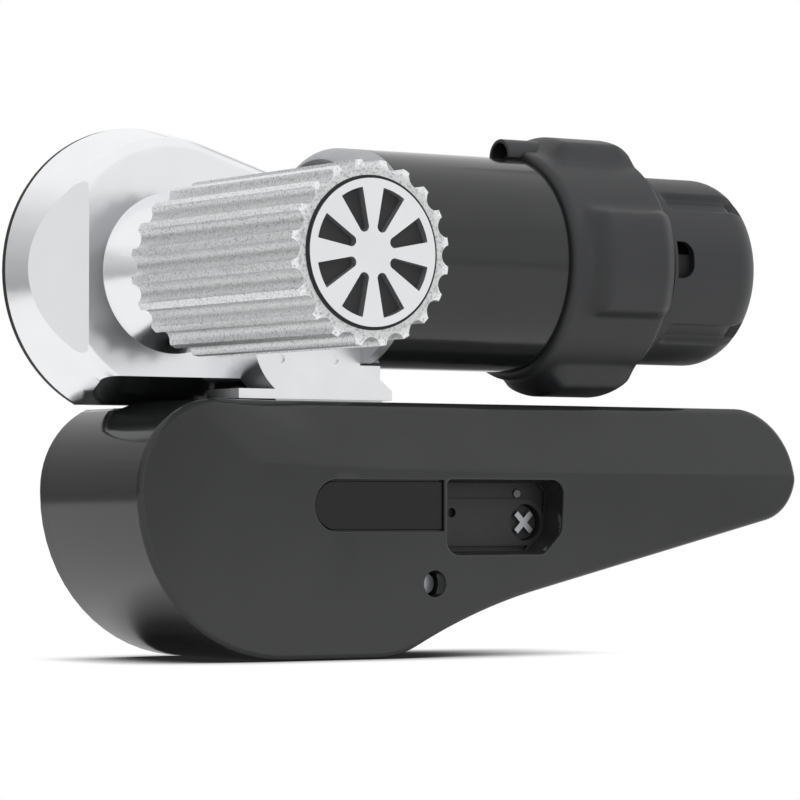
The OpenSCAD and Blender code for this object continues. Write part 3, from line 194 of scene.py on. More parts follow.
def put(tree, kind, values=None, links=None, stops=(), **settings):
    """Adds a node with its settings, its constant inputs, its links and the stops of its colour band."""
    made = tree.nodes.new(kind)
    for key, value in settings.items():
        setattr(made, key, value)
    for key, value in (values or {}).items():
        made.inputs[key].default_value = value
    for key, socket in (links or {}).items():
        tree.links.new(socket, made.inputs[key])
    if stops:
        band = made.color_ramp.elements
        while len(band) < len(stops):
            band.new(0.5)
        for element, (place, shade) in zip(band, stops):
            element.position = place
            element.color = shade
    return made


def fresh(name, constants):
    """A new material, its tree, its shader with constant inputs, and Object coordinates."""
    material = bpy.data.materials.new(name)
    material.use_nodes = True
    tree = material.node_tree
    shader = tree.nodes["Principled BSDF"]
    for key, value in constants.items():
        shader.inputs[key].default_value = value
    return material, tree, shader, put(tree, "ShaderNodeTexCoord").outputs["Object"]


def bare(name):
    """A new material with an empty tree."""
    material = bpy.data.materials.new(name)
    material.use_nodes = True
    material.node_tree.nodes.clear()
    return material, material.node_tree


def darker(shade, share):
    """A colour times a share."""
    return tuple(c * share for c in shade[:3]) + (1.0,)


def surface(tree, shader, tint, gloss_by, rough, height, relief, depth=0.05 * MM):
    """Gives a shader its colour, a roughness that wanders between two values, and a relief."""
    sheen = put(tree, "ShaderNodeMapRange", {"To Min": rough[0], "To Max": rough[1]}, {"Value": gloss_by})
    bump = put(tree, "ShaderNodeBump", {"Strength": relief, "Distance": depth}, {"Height": height})
    tree.links.new(tint, shader.inputs["Base Color"])
    tree.links.new(sheen.outputs["Result"], shader.inputs["Roughness"])
    tree.links.new(bump.outputs["Normal"], shader.inputs["Normal"])


def moulded(name, shade, rough, grain, relief, ior=1.5):
    """Moulded or painted skin: slow clouds of colour, and a grain in millimetres that breaks its sheen."""
    cloud = 24.0
    material, tree, shader, where = fresh(name, {"IOR": ior})
    slow = put(tree, "ShaderNodeTexNoise", {"Scale": 1 / (cloud * MM), "Detail": 3.0}, {"Vector": where})
    fine = put(tree, "ShaderNodeTexNoise", {"Scale": 1 / (grain * MM), "Detail": 4.0}, {"Vector": where})
    tint = put(
        tree, "ShaderNodeValToRGB", links={"Fac": slow.outputs["Fac"]},
        stops=((0.3, darker(shade, 0.88)), (0.7, tuple(shade))),
    )
    grained = fine.outputs["Fac"]
    surface(tree, shader, tint.outputs["Color"], grained, (rough * 0.8, rough * 1.25), grained, relief)
    return material


def metal(name, shade, rough, grain, relief, stretch=(1.0, 1.0, 1.0), spread=0.86):
    """Bare or plated metal: colour that wanders a little, and marks in millimetres that break its gloss."""
    wander = 15
    material, tree, shader, where = fresh(name, {"Metallic": 1.0})
    along = put(tree, "ShaderNodeMapping", {"Scale": stretch}, {"Vector": where})
    marks = put(
        tree, "ShaderNodeTexNoise", {"Scale": 1 / (grain * MM), "Detail": 4.0},
        {"Vector": along.outputs["Vector"]},
    )
    slow = put(tree, "ShaderNodeTexNoise", {"Scale": 1 / (wander * MM), "Detail": 2.0}, {"Vector": where})
    tint = put(
        tree, "ShaderNodeValToRGB", links={"Fac": slow.outputs["Fac"]},
        stops=((0.3, darker(shade, spread)), (0.7, tuple(shade))),
    )
    marked = marks.outputs["Fac"]
    surface(tree, shader, tint.outputs["Color"], marked, (rough * 0.75, rough * 1.3), marked, relief)
    return material


def gritted(name, shade, axis, floor, ridge):
    """Aluminium with grit bonded on: speckled grains, and painted shade that darkens them in the flutes."""
    grain, pit, grain_height = 0.6 * MM, 0.8 * MM, 0.18 * MM
    material, tree, shader, where = fresh(name, {"Metallic": 0.8})
    centred = put(
        tree, "ShaderNodeMapping", {"Location": (-axis.x, 0.0, -axis.z), "Scale": (1.0, 0.0, 1.0)},
        {"Vector": where},
    )
    away = put(tree, "ShaderNodeVectorMath", links={0: centred.outputs["Vector"]}, operation="LENGTH")
    rise = put(
        tree, "ShaderNodeMapRange", {"From Min": floor, "From Max": ridge}, {"Value": away.outputs["Value"]}
    )
    grains = put(tree, "ShaderNodeTexVoronoi", {"Scale": 1 / grain}, {"Vector": where})
    pits = put(tree, "ShaderNodeTexNoise", {"Scale": 1 / pit, "Detail": 5.0}, {"Vector": where})
    shares = ((0.3, 0.5), (0.42, 0.8), (0.52, 0.96), (0.62, 1.0))
    speckle = put(
        tree, "ShaderNodeValToRGB", links={"Fac": pits.outputs["Fac"]},
        stops=[(place, darker(shade, share)) for place, share in shares],
    )
    # painted shade: the colour darkens towards the floors of the flutes, nearer the roller's axis
    flute_shade = put(
        tree, "ShaderNodeValToRGB", links={"Fac": rise.outputs["Result"]},
        stops=((0.0, darker(WHITE, 0.76)), (0.6, WHITE)),
    )
    tint = put(
        tree, "ShaderNodeMix", {"Factor": 1.0}, {"A": speckle.outputs["Color"], "B": flute_shade.outputs["Color"]},
        data_type="RGBA", blend_type="MULTIPLY",
    )
    surface(
        tree, shader, tint.outputs["Result"], pits.outputs["Fac"], (0.28, 0.5), grains.outputs["Distance"],
        0.45, grain_height,
    )
    return material


def wound(name, shade):
    """Enamelled copper wire laid side by side: 0.9 mm rounds that catch the light one by one, with painted
    shade in the gaps between them.
    """
    material, tree, shader, where = fresh(name, {"Metallic": 1.0, "Roughness": 0.3})
    # a wave texture has about three bands to a unit of its scale
    three_turns = 2.8 * MM
    turns = put(
        tree, "ShaderNodeTexWave", {"Scale": 1 / three_turns, "Distortion": 0.6}, {"Vector": where},
        bands_direction="X",
    )
    # painted shade: the colour darkens in the gaps between the turns
    tint = put(
        tree, "ShaderNodeValToRGB", links={"Fac": turns.outputs["Fac"]},
        stops=((0.0, darker(shade, 0.35)), (0.6, tuple(shade))),
    )
    bump = put(
        tree, "ShaderNodeBump", {"Strength": 0.8, "Distance": 0.3 * MM}, {"Height": turns.outputs["Fac"]}
    )
    tree.links.new(tint.outputs["Color"], shader.inputs["Base Color"])
    tree.links.new(bump.outputs["Normal"], shader.inputs["Normal"])
    return material


FINISH = {}


def make_finishes(colours):
    """All finishes of the mover by their short names."""
    # ABS from a polished mould: deep gloss with hardly any texture
    FINISH["cover"] = moulded("gloss_ABS", colours.cover, 0.11, 5.0, 0.012)
    # stove enamel on rolled steel: gloss with a faint orange peel
    FINISH["tube"] = moulded("gloss_enamel", colours.motor, 0.13, 4.0, 0.02)
    # nylon from a spark eroded mould: fine satin grain, drawn at 0.7 mm to show
    FINISH["shroud"] = moulded("satin_nylon", colours.shroud, 0.46, 0.7, 0.2)
    # textured ABS: matt and dark, grain drawn at 0.6 mm to show
    FINISH["tray"] = moulded("textured_ABS", colours.tray, 0.5, 0.6, 0.15)
    # ABS plate from a satin mould: darker than the cover round it
    FINISH["plate"] = moulded("satin_ABS", darker(colours.tray, 0.8), 0.4, 1.2, 0.03, ior=1.34)
    # painted shade behind the vent: a black block with no sheen, for the dark inside of the cap
    FINISH["vent_shade"] = moulded("black_vent_shade", linear("#060606"), 0.9, 0.8, 0.3, ior=1.05)
    # glass filled nylon inside the motor: dull black
    FINISH["holder"] = moulded("filled_nylon", darker(colours.tray, 0.35), 0.7, 0.8, 0.3)
    # polished die cast aluminium: near mirror with a slight haze
    FINISH["pot"] = metal("polished_aluminium", colours.bright, 0.2, 6.0, 0.01, spread=0.97)
    # face milled aluminium: even satin, tool lines along the cut drawn at 0.5 mm to show
    FINISH["foot"] = metal("milled_aluminium", colours.cast, 0.32, 0.5, 0.06, (0.15, 1.0, 1.0), 0.95)
    # bead blasted die cast aluminium: soft even grey, partly darkened as painted shade on the end shield
    FINISH["shield"] = metal("blasted_aluminium", colours.shield, 0.45, 0.5, 0.1)
    # sand cast aluminium: grey and grainy
    FINISH["casting"] = metal("sand_cast_aluminium", darker(colours.cast, 0.75), 0.5, 0.9, 0.4)
    # anodised aluminium disc: pale, flat and silky
    FINISH["cap"] = metal("anodised_aluminium", colours.cap, 0.42, 0.4, 0.05, spread=0.97)
    # grit bonded to aluminium: pale and rough, with dark pits between the grains, and painted shade in the
    # flutes
    FINISH["roller"] = gritted(
        "grit_coated_aluminium", colours.grit, middle("roller"), ROLLER_R - 3 * MM, ROLLER_R
    )
    # die cast zinc left bare: dull grey
    FINISH["pip"] = metal("die_cast_zinc", linear("#77787a"), 0.55, 0.6, 0.1)
    # zinc plated steel: silver with a soft cloudy gloss
    FINISH["steel"] = metal("zinc_plated_steel", colours.steel, 0.3, 0.6, 0.06)
    # ground steel of shafts and gears: fine lines round the work
    FINISH["ground"] = metal("ground_steel", darker(colours.steel, 0.85), 0.22, 0.3, 0.08)
    # chemically blacked steel: nearly black, oily gloss
    FINISH["blacked"] = metal("blacked_steel", linear("#3a3b3d"), 0.35, 0.5, 0.1)
    # powder coat on sheet steel: even dark grey with a fine peel
    FINISH["paint"] = moulded("powder_coat", colours.paint, 0.4, 1.1, 0.18)
    # sintered bronze bush: warm, porous
    FINISH["bronze"] = metal("sintered_bronze", linear("#a8814f"), 0.35, 0.5, 0.25)
    # nitrile rubber: black, matt, a little dusty
    FINISH["rubber"] = moulded("nitrile_rubber", colours.rubber, 0.65, 0.8, 0.25)
    # sintered ferrite: dark grey and chalky
    FINISH["magnet"] = moulded("sintered_ferrite", linear("#3b3c3e"), 0.6, 0.6, 0.3)
    # pressed carbon: soft grey black
    FINISH["carbon"] = moulded("pressed_carbon", linear("#232325"), 0.45, 0.5, 0.3)
    # enamelled copper wire: warm bright lines with painted shade in the gaps
    FINISH["copper"] = wound("enamelled_copper_wire", linear("#b0683a"))
    # drawn copper bars of the commutator: bare and brushed by the carbons
    FINISH["bar"] = metal("drawn_copper", linear("#b87345"), 0.28, 0.4, 0.12, (1.0, 0.1, 0.1))


# Meshes


def welded(node):
    """A bmesh copy of a CAD node with its loose triangles joined."""
    bm = bmesh.new()
    bm.from_mesh(frame["nodes"][node].data)
    bmesh.ops.remove_doubles(bm, verts=bm.verts, dist=WELD)
    return bm


def merged(node):
    """A bmesh copy of a CAD node with its flat faces made whole."""
    bm = welded(node)
    bmesh.ops.dissolve_limit(bm, angle_limit=math.radians(0.4), verts=bm.verts, edges=bm.edges)
    return bm


def bends(edge, degrees):
    """Whether the two faces at an edge bend by more than an angle."""
    return edge.is_manifold and edge.calc_face_angle() > math.radians(degrees)


def mark_sharp(bm, degrees):
    """Lets light break at the edges that bend by an angle or more."""
    for edge in bm.edges:
        edge.smooth = edge.is_manifold and edge.calc_face_angle() < math.radians(degrees)


def show(name, bm, finish, node, sharp=None, stands=True):
    """Makes a bmesh a piece on a CAD node's body and with its slot, which may stand for that node."""
    for face in bm.faces:
        face.smooth = True
        face.material_index = 0
    if sharp is not None:
        mark_sharp(bm, sharp)
    mesh = bpy.data.meshes.new(name)
    bm.to_mesh(mesh)
    bm.free()
    for layer in ("custom_normal", "sharp_face"):
        if layer in mesh.attributes:
            mesh.attributes.remove(mesh.attributes[layer])
    mesh.materials.clear()
    mesh.materials.append(FINISH[finish])
    made = bpy.data.objects.new(name, mesh)
    bpy.context.scene.collection.objects.link(made)
    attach(made, BODY_OF[node])
    if stands:
        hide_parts(node)
    return made


def soften(piece, width, segments=2, degrees=32.0):
    """Rounds a piece's edges with a Bevel modifier, and keeps its flats flat to the light."""
    rounding = piece.modifiers.new("edges", "BEVEL")
    rounding.width = width
    rounding.segments = segments
    rounding.profile = 0.5
    rounding.limit_method = "ANGLE"
    rounding.angle_limit = math.radians(degrees)
    flats = piece.modifiers.new("normals", "WEIGHTED_NORMAL")
    flats.mode = "FACE_AREA_WITH_ANGLE"
    flats.weight = 100
    return piece


def round_off(bm, edges, radius, segments, clamp=False):
    """Rounds some edges of a bmesh."""
    bmesh.ops.bevel(
        bm, geom=edges, offset=radius, offset_type="OFFSET", segments=segments, profile=0.5, affect="EDGES",
        material=-1, clamp_overlap=clamp,
    )


def dress(node, finish, width, segments=2):
    """A CAD node's own shape as a piece with rounded edges."""
    return soften(show(node + "_skin", merged(node), finish, node), width, segments)


def colour_node(node, finish):
    """Gives a CAD node that stays its finish."""
    slots = frame["nodes"][node].data.materials
    slots.clear()
    slots.append(FINISH[finish])


def settle(piece):
    """Turns a piece's modifiers into its mesh."""
    bpy.context.view_layer.update()
    shown = piece.evaluated_get(bpy.context.evaluated_depsgraph_get())
    mesh = bpy.data.meshes.new_from_object(shown)
    piece.modifiers.clear()
    old = piece.data
    piece.data = mesh
    bpy.data.meshes.remove(old)
    return piece


def carve(piece, bm, operation="DIFFERENCE"):
    """Cuts a closed bmesh out of a piece, or joins it on."""
    bmesh.ops.recalc_face_normals(bm, faces=bm.faces)
    mesh = bpy.data.meshes.new("carver")
    bm.to_mesh(mesh)
    bm.free()
    carver = bpy.data.objects.new("carver", mesh)
    bpy.context.scene.collection.objects.link(carver)
    cut = piece.modifiers.new("carve", "BOOLEAN")
    cut.object = carver
    cut.operation = operation
    cut.solver = "EXACT"
    settle(piece)
    bpy.data.objects.remove(carver)
    bpy.data.meshes.remove(mesh)
    if not piece.data.polygons:
        raise RuntimeError("nothing is left of " + piece.name)
    return piece


def block(low, high):
    """A bmesh box between two corners."""
    bm = bmesh.new()
    bmesh.ops.create_cube(bm, size=1.0)
    low, high = Vector(low), Vector(high)
    bmesh.ops.scale(bm, vec=high - low, verts=bm.verts)
    bmesh.ops.translate(bm, vec=(low + high) / 2, verts=bm.verts)
    return bm


def rod(spot, y0, y1, radius, steps=64):
    """A bmesh rod along Y at a spot, between two depths."""
    bm = bmesh.new()
    start, end = Vector((spot.x, y0, spot.z)), Vector((spot.x, y1, spot.z))
    bmesh.ops.create_cone(
        bm, cap_ends=True, segments=steps, radius1=radius, radius2=radius, depth=(end - start).length
    )
    turn = (end - start).to_track_quat("Z", "Y").to_matrix().to_4x4()
    bmesh.ops.transform(bm, matrix=Matrix.Translation((start + end) / 2) @ turn, verts=bm.verts)
    return bm


def corners(verts):
    """Lowest and highest corner of the box round some vertices."""
    low = Vector(min(v.co[i] for v in verts) for i in range(3))
    high = Vector(max(v.co[i] for v in verts) for i in range(3))
    return low, high


def swell(bm, verts, centre, scale):
    """Scales some vertices about a centre."""
    bmesh.ops.translate(bm, vec=-centre, verts=verts)
    bmesh.ops.scale(bm, vec=scale, verts=verts)
    bmesh.ops.translate(bm, vec=centre, verts=verts)


def deep_edges(bm):
    """The edges of a cutter that run along Y."""
    return [e for e in bm.edges if abs(e.verts[0].co.y - e.verts[1].co.y) > 1 * MM]


def outline(node, depth):
    """The outer outline of a CAD node cut across at a depth along Y, as one face that looks forward."""
    bm = merged(node)
    bmesh.ops.bisect_plane(
        bm, geom=bm.verts[:] + bm.edges[:] + bm.faces[:], dist=ON_PLANE, plane_co=(0, depth, 0),
        plane_no=(0, 1, 0), clear_inner=True, clear_outer=True,
    )
    bmesh.ops.remove_doubles(bm, verts=bm.verts, dist=WELD)
    loops, left = [], set(bm.verts)
    while left:
        seeds = [left.pop()]
        loop = set(seeds)
        while seeds:
            for edge in seeds.pop().link_edges:
                for vert in edge.verts:
                    if vert in left:
                        left.remove(vert)
                        loop.add(vert)
                        seeds.append(vert)
        loops.append(loop)
    loops.sort(key=lambda loop: max(v.co.x for v in loop) - min(v.co.x for v in loop))
    bmesh.ops.delete(bm, geom=[v for loop in loops[:-1] for v in loop], context="VERTS")
    face = bmesh.ops.contextual_create(bm, geom=bm.edges[:])["faces"][0]
    face.normal_update()
    if face.normal.y > 0:
        bmesh.ops.reverse_faces(bm, faces=[face])
    return bm, face


def pull(bm, face, offset):
    """Draws a face out into a solid."""
    made = bmesh.ops.extrude_face_region(bm, geom=[face])["geom"]
    bmesh.ops.translate(bm, vec=offset, verts=[g for g in made if isinstance(g, bmesh.types.BMVert)])
    bmesh.ops.recalc_face_normals(bm, faces=bm.faces)


def opening(node, depth, y0, y1, spare):
    """A cutter with the outline of a CAD node and a little room round it, between two depths."""
    bm, face = outline(node, depth)
    low, high = corners(bm.verts)
    centre = face.calc_center_bounds()
    wider = (1 + 2 * spare / (high.x - low.x), 1.0, 1 + 2 * spare / (high.z - low.z))
    bmesh.ops.translate(bm, vec=(-centre.x, y0 - centre.y, -centre.z), verts=bm.verts)
    bmesh.ops.scale(bm, vec=wider, verts=bm.verts)
    bmesh.ops.translate(bm, vec=(centre.x, 0, centre.z), verts=bm.verts)
    pull(bm, face, (0, y1 - y0, 0))
    return bm


def turned(points, steps):
    """A closed profile of (along, radius) points turned about the motor's axis."""
    bm = bmesh.new()
    base = Vector((0, MOTOR_AXIS.y, MOTOR_AXIS.z))
    verts = [bm.verts.new(base + Vector((along, 0, radius))) for along, radius in points]
    for start, end in zip(verts, verts[1:] + verts[:1]):
        bm.edges.new((start, end))
    bmesh.ops.spin(
        bm, geom=bm.verts[:] + bm.edges[:], cent=base, axis=(1, 0, 0), angle=2 * math.pi, steps=steps,
        use_merge=True,
    )
    bmesh.ops.remove_doubles(bm, verts=bm.verts, dist=5e-6)
    bmesh.ops.dissolve_degenerate(bm, edges=bm.edges, dist=1e-6)
    bmesh.ops.recalc_face_normals(bm, faces=bm.faces)
    return bm


def motor_arm(vert):
    """From the motor's axis straight out to a vertex."""
    return Vector((0, vert.co.y - MOTOR_AXIS.y, vert.co.z - MOTOR_AXIS.z))


def off_spoke(arm, first):
    """Angle from an arm to the nearest of four spokes round the motor, from the place of the first."""
    turn = (math.atan2(arm.z, arm.y) - first) % QUARTER
    return min(turn, QUARTER - turn)


def ease(value, start, end):
    """0 before start and 1 after end, with soft ends."""
    share = min(1.0, max(0.0, (value - start) / (end - start)))
    return share * share * (3 - 2 * share)


def pocket_cutter(y0, y1, spare, spare_deep):
    """A cutter for the pocket with round corners, which may narrow towards its far end."""
    section, corner_r = COVER_LOW.y + 1.2 * MM, 1.8 * MM
    bm = opening("pocket_tray", section, y0, y1, spare)
    round_off(bm, deep_edges(bm), corner_r, 4)
    low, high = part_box("pocket_tray")
    shrink = 2 * (spare_deep - spare)
    deep = [v for v in bm.verts if v.co.y > (y0 + y1) / 2]
    narrower = (1 + shrink / (high.x - low.x), 1.0, 1 + shrink / (high.z - low.z))
    swell(bm, deep, (low + high) / 2, narrower)
    return bm


def flare(bm, width):
    """Widens the mouth of a cutter, so that it leaves a rounded edge at the front of the cover."""
    low, high = corners(bm.verts)
    centre, size = (low + high) / 2, high - low
    # the mouth ends a little before the front, so that no face of it lies in the front
    front = COVER_LOW.y - 0.03 * MM
    steps = 6
    for step in range(steps + 1):
        depth = width * (1 - math.sin(QUARTER * step / steps))
        bmesh.ops.bisect_plane(
            bm, geom=bm.verts[:] + bm.edges[:] + bm.faces[:], dist=ON_PLANE, plane_co=(0, front + depth, 0),
            plane_no=(0, 1, 0),
        )
    for vert in bm.verts:
        depth = max(0.0, vert.co.y - front)
        if depth < width:
            wide = width * (1 - math.sqrt(1 - (1 - depth / width) ** 2))
            vert.co.x += (vert.co.x - centre.x) * 2 * wide / size.x
            vert.co.z += (vert.co.z - centre.z) * 2 * wide / size.z
    return bm


# Pieces


class MOVER_OT_cover(bpy.types.Operator):
    """Moulded cover with its leaning brow, soft rim and openings"""

    bl_idname = "mover.cover"
    bl_label = "Cover"

    def block_out(self):
        """The cover as a solid piece, drawn out from its outline."""
        # at this depth the outline is whole, clear of all openings
        whole = COVER_LOW.y + 39 * MM
        bm, face = outline("cover_shell", whole)
        bmesh.ops.translate(bm, vec=(0, COVER_LOW.y - face.calc_center_bounds().y, 0), verts=bm.verts)
        pull(bm, face, (0, COVER_HIGH.y - COVER_LOW.y, 0))
        cover = show("cover_skin", bm, "cover", "cover_shell")
        # the top steps down behind the foot, to pass under the gear pot
        step_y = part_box("gear_housing")[0].y + 37 * MM
        step_drop = 2.5 * MM
        carve(cover, block(
            (COVER_LOW.x - BEYOND, step_y, COVER_HIGH.z - step_drop),
            (COVER_HIGH.x + BEYOND, COVER_HIGH.y + BEYOND, COVER_HIGH.z + BEYOND),
        ))
        return cover

    def lean_brow(self, bm, sizes):
        """Rules lines over the front and leans it back above the crease, right of the nose."""
        front, top = COVER_LOW.y, COVER_HIGH.z
        crease = top - sizes.crease_drop
        left = POST_AXIS.x - sizes.brow_start
        # the lean fades out over this depth
        fade = 30 * MM
        rows = [crease + sizes.crease_soft * (i / 3 - 2) for i in range(12)]
        rows += [crease + (top - crease) * i / 8 for i in range(2, 8)]
        columns = [left + (sizes.brow_slant + sizes.brow_ramp) * i / 14 for i in range(15)]
        columns += [left + (COVER_HIGH.x - left) * i / 10 for i in range(4, 10)]
        lines = [((0, 0, z), (0, 0, 1)) for z in rows] + [((x, 0, 0), (1, 0, 0)) for x in columns]
        for place, across in lines:
            faces = [f for f in bm.faces if min(v.co.y for v in f.verts) < front + sizes.cover_rim * 0.9]
            near = {v for f in faces for v in f.verts} | {e for f in faces for e in f.edges}
            bmesh.ops.bisect_plane(
                bm, geom=list(near) + faces, dist=ON_PLANE, plane_co=place, plane_no=across
            )
        for vert in bm.verts:
            depth = vert.co.y - front
            rise = vert.co.z - crease + (vert.co.x - POST_AXIS.x) * math.tan(sizes.brow_droop)
            if depth > fade or rise <= -sizes.crease_soft:
                continue
            if rise < sizes.crease_soft:
                rise = (rise + sizes.crease_soft) ** 2 / (4 * sizes.crease_soft)
            start = left + sizes.brow_slant * (top - vert.co.z) / (top - crease)
            share = ease(vert.co.x, start, start + sizes.brow_ramp) * (1 - depth / fade)
            vert.co.y += rise * math.tan(sizes.brow_lean) * share

    def hollow(self, cover, sizes):
        """Rounds the rim, leans the brow, and leaves a wall that is open at the back."""
        bm = bmesh.new()
        bm.from_mesh(cover.data)
        # the rim's edges lie before this depth
        rim_end = COVER_LOW.y + 30 * MM
        rim = [e for e in bm.edges if bends(e, 45) and max(v.co.y for v in e.verts) < rim_end]
        round_off(bm, rim, sizes.cover_rim, 6, clamp=True)
        self.lean_brow(bm, sizes)
        rear = [f for f in bm.faces if min(v.co.y for v in f.verts) > COVER_HIGH.y - 1e-5]
        bmesh.ops.delete(bm, geom=rear, context="FACES")
        for face in bm.faces:
            face.smooth = True
        bm.to_mesh(cover.data)
        bm.free()
        wall = cover.modifiers.new("wall", "SOLIDIFY")
        wall.thickness = sizes.cover_wall
        wall.offset = -1.0
        wall.use_even_offset = True
        settle(cover)

    def open_up(self, cover, sizes):
        """Adds the sleeve of the front screw, and cuts all openings of the cover."""
        front = COVER_LOW.y
        sleeve_r, hole_r, thread_r = 7.5 * MM, 4.5 * MM, 2.4 * MM
        sleeve_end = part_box("cover_post")[0].y - 0.2 * MM
        seat = sleeve_end - 3 * MM
        carve(cover, rod(POST_AXIS, front + 2 * MM, sleeve_end, sleeve_r), "UNION")
        carve(cover, flare(rod(POST_AXIS, front - 2 * MM, seat, hole_r), sizes.badge_edge))
        carve(cover, rod(POST_AXIS, front - 2 * MM, sleeve_end + 2 * MM, thread_r))
        # badge recess with a little room, and the pocket, where the cover laps over the tray
        before, pocket_end = front - 3 * MM, front + 8 * MM
        badge_room, tray_lap = 0.3 * MM, 0.8 * MM
        badge_low, badge_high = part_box("badge_plate")
        badge_middle = (badge_low.y + badge_high.y) / 2
        recess = opening("badge_plate", badge_middle, before, badge_high.y + 0.1 * MM, badge_room)
        carve(cover, flare(recess, sizes.badge_edge))
        carve(cover, flare(pocket_cutter(before, pocket_end, -tray_lap, -tray_lap), sizes.pocket_edge))
        carve(cover, block(
            (FOOT_SLOT_X[0], FOOT_SLOT_Y[0], COVER_HIGH.z - 6 * MM),
            (FOOT_SLOT_X[1], FOOT_SLOT_Y[1], COVER_HIGH.z + 5 * MM),
        ))

    def execute(self, context):
        sizes = context.scene.mover_sizes
        cover = self.block_out()
        self.hollow(cover, sizes)
        self.open_up(cover, sizes)
        for face in cover.data.polygons:
            face.use_smooth = True
        soften(cover, sizes.opening_edge, 2, 40.0)
        return {"FINISHED"}


class MOVER_OT_front(bpy.types.Operator):
    """Badge plate, pocket tray, pip and screws of the chassis side"""

    bl_idname = "mover.front"
    bl_label = "Badge, pocket and chassis side"

    def badge(self, sizes):
        """Plain plate that lies a little back in its recess."""
        bm = merged("badge_plate")
        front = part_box("badge_plate")[0].y
        bmesh.ops.translate(
            bm, vec=(0, sizes.badge_set, 0), verts=[v for v in bm.verts if v.co.y < front + 0.1 * MM]
        )
        soften(show("badge_plate_skin", bm, "plate", "badge_plate"), sizes.fine_edge)

    def tray(self, sizes):
        """Tray that ends behind the cover's wall, with a small hole at the left end of its plinth."""
        tray = show("pocket_tray_skin", welded("pocket_tray"), "tray", "pocket_tray")
        low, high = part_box("pocket_tray")
        wall = COVER_LOW.y + sizes.cover_wall + 0.05 * MM
        carve(tray, block(
            (low.x - BEYOND, low.y - BEYOND, low.z - BEYOND), (high.x + BEYOND, wall, high.z + BEYOND)
        ))
        # its walls widen towards the front, down to the top of the plinth
        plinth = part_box("engage_shaft")[0].y - 1 * MM
        lap_front, lap_deep = 0.6 * MM, 1.95 * MM
        carve(tray, pocket_cutter(wall - 1 * MM, plinth, -lap_front, -lap_deep))
        axis = middle("engage_pinion")
        pin = Vector((axis.x - 32 * MM, 0, axis.z + 3.5 * MM))
        pin_r, floor = 1.7 * MM, 1 * MM
        carve(tray, rod(pin, high.y - 8 * MM, high.y - floor, pin_r))
        bm = bmesh.new()
        bm.from_mesh(tray.data)
        bmesh.ops.remove_doubles(bm, verts=bm.verts, dist=WELD)
        mark_sharp(bm, 25)
        bm.to_mesh(tray.data)
        bm.free()

    def pip(self, sizes):
        """Pip on the pocket floor, a little wider than its solid."""
        wider = 1.35
        bm = merged("lock_pip")
        swell(bm, bm.verts, middle("lock_pip"), (wider, 1.0, wider))
        soften(show("lock_pip_skin", bm, "pip", "lock_pip"), sizes.fine_edge)

    def screw_cap(self, sizes):
        """Flat cap over the front screw."""
        cap_r, thick = 3.9 * MM, 2 * MM
        face = COVER_LOW.y + 6.4 * MM
        cap = rod(POST_AXIS, face, face + thick, cap_r)
        soften(show("screw_cap", cap, "steel", "cover_screws", stands=False), sizes.fine_edge)

    def execute(self, context):
        sizes = context.scene.mover_sizes
        edge = sizes.fine_edge
        self.badge(sizes)
        self.tray(sizes)
        self.pip(sizes)
        dress("cover_screws", "steel", edge * 0.6)
        self.screw_cap(sizes)
        dress("mount_plate", "tube", edge)
        dress("plate_screws", "steel", edge * 0.4)
        dress("weld_nuts", "steel", edge)
        colour_node("cover_post", "steel")
        colour_node("rod_brackets", "paint")
        colour_node("guide_rods", "ground")
        colour_node("engage_bracket", "paint")
        colour_node("engage_bushes", "bronze")
        return {"FINISHED"}


class MOVER_OT_engage(bpy.types.Operator):
    """Engaging shaft with its cross, and its pinion"""

    bl_idname = "mover.engage"
    bl_label = "Engaging shaft"

    def execute(self, context):
        edge = context.scene.mover_sizes.fine_edge
        dress("engage_shaft", "steel", edge * 0.8)
        colour_node("engage_pinion", "ground")
        # plastic collar that fills the hole of the plinth behind the cross
        collar_r, thick = 6.3 * MM, 1.4 * MM
        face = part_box("engage_shaft")[0].y + 1.8 * MM
        collar = rod(middle("engage_pinion"), face, face + thick, collar_r)
        soften(show("cross_collar", collar, "tray", "engage_shaft", stands=False), edge * 0.5)
        return {"FINISHED"}


class MOVER_OT_carriage(bpy.types.Operator):
    """Carriage, rack and foot casting"""

    bl_idname = "mover.carriage"
    bl_label = "Carriage and foot"

    def execute(self, context):
        edge = context.scene.mover_sizes.fine_edge
        dress("drive_foot", "foot", edge)
        dress("carriage", "casting", edge)
        colour_node("carriage_bushes", "bronze")
        colour_node("rack", "ground")
        for node in ("rack_screws", "foot_screws", "housing_screws"):
            colour_node(node, "blacked")
        return {"FINISHED"}


class MOVER_OT_gearbox(bpy.types.Operator):
    """Polished gear pot, its gasket and rear cover, and what runs in it"""

    bl_idname = "mover.gearbox"
    bl_label = "Gearbox"

    def pot(self, sizes):
        """Gear pot with its rear rim rounded further than its facets."""
        bm = merged("gear_housing")
        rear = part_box("gear_housing")[1].y - 0.05 * MM
        axis = middle("roller")
        # the rim lies outside this radius, and the pot's cavity inside it
        rim_r = 48 * MM

        def on_rim(vert):
            return vert.co.y > rear and math.hypot(vert.co.x - axis.x, vert.co.z - axis.z) > rim_r

        rim = [e for e in bm.edges if bends(e, 50) and all(on_rim(v) for v in e.verts)]
        round_off(bm, rim, sizes.pot_rim, 4, clamp=True)
        soften(show("gear_housing_skin", bm, "pot", "gear_housing"), sizes.pot_edge, 3)

    def execute(self, context):
        sizes = context.scene.mover_sizes
        self.pot(sizes)
        dress("gear_gasket", "rubber", sizes.fine_edge * 0.5)
        dress("gear_cover", "pot", sizes.fine_edge * 1.5)
        dress("gear_screws", "steel", sizes.fine_edge * 0.4)
        dress("shaft_seal", "rubber", sizes.fine_edge)
        for node in ("counter_bushes", "worm_bush", "worm_wheel"):
            colour_node(node, "bronze")
        for node in ("roller_bearings", "counter_shaft", "spur_pinion", "worm"):
            colour_node(node, "ground")
        return {"FINISHED"}


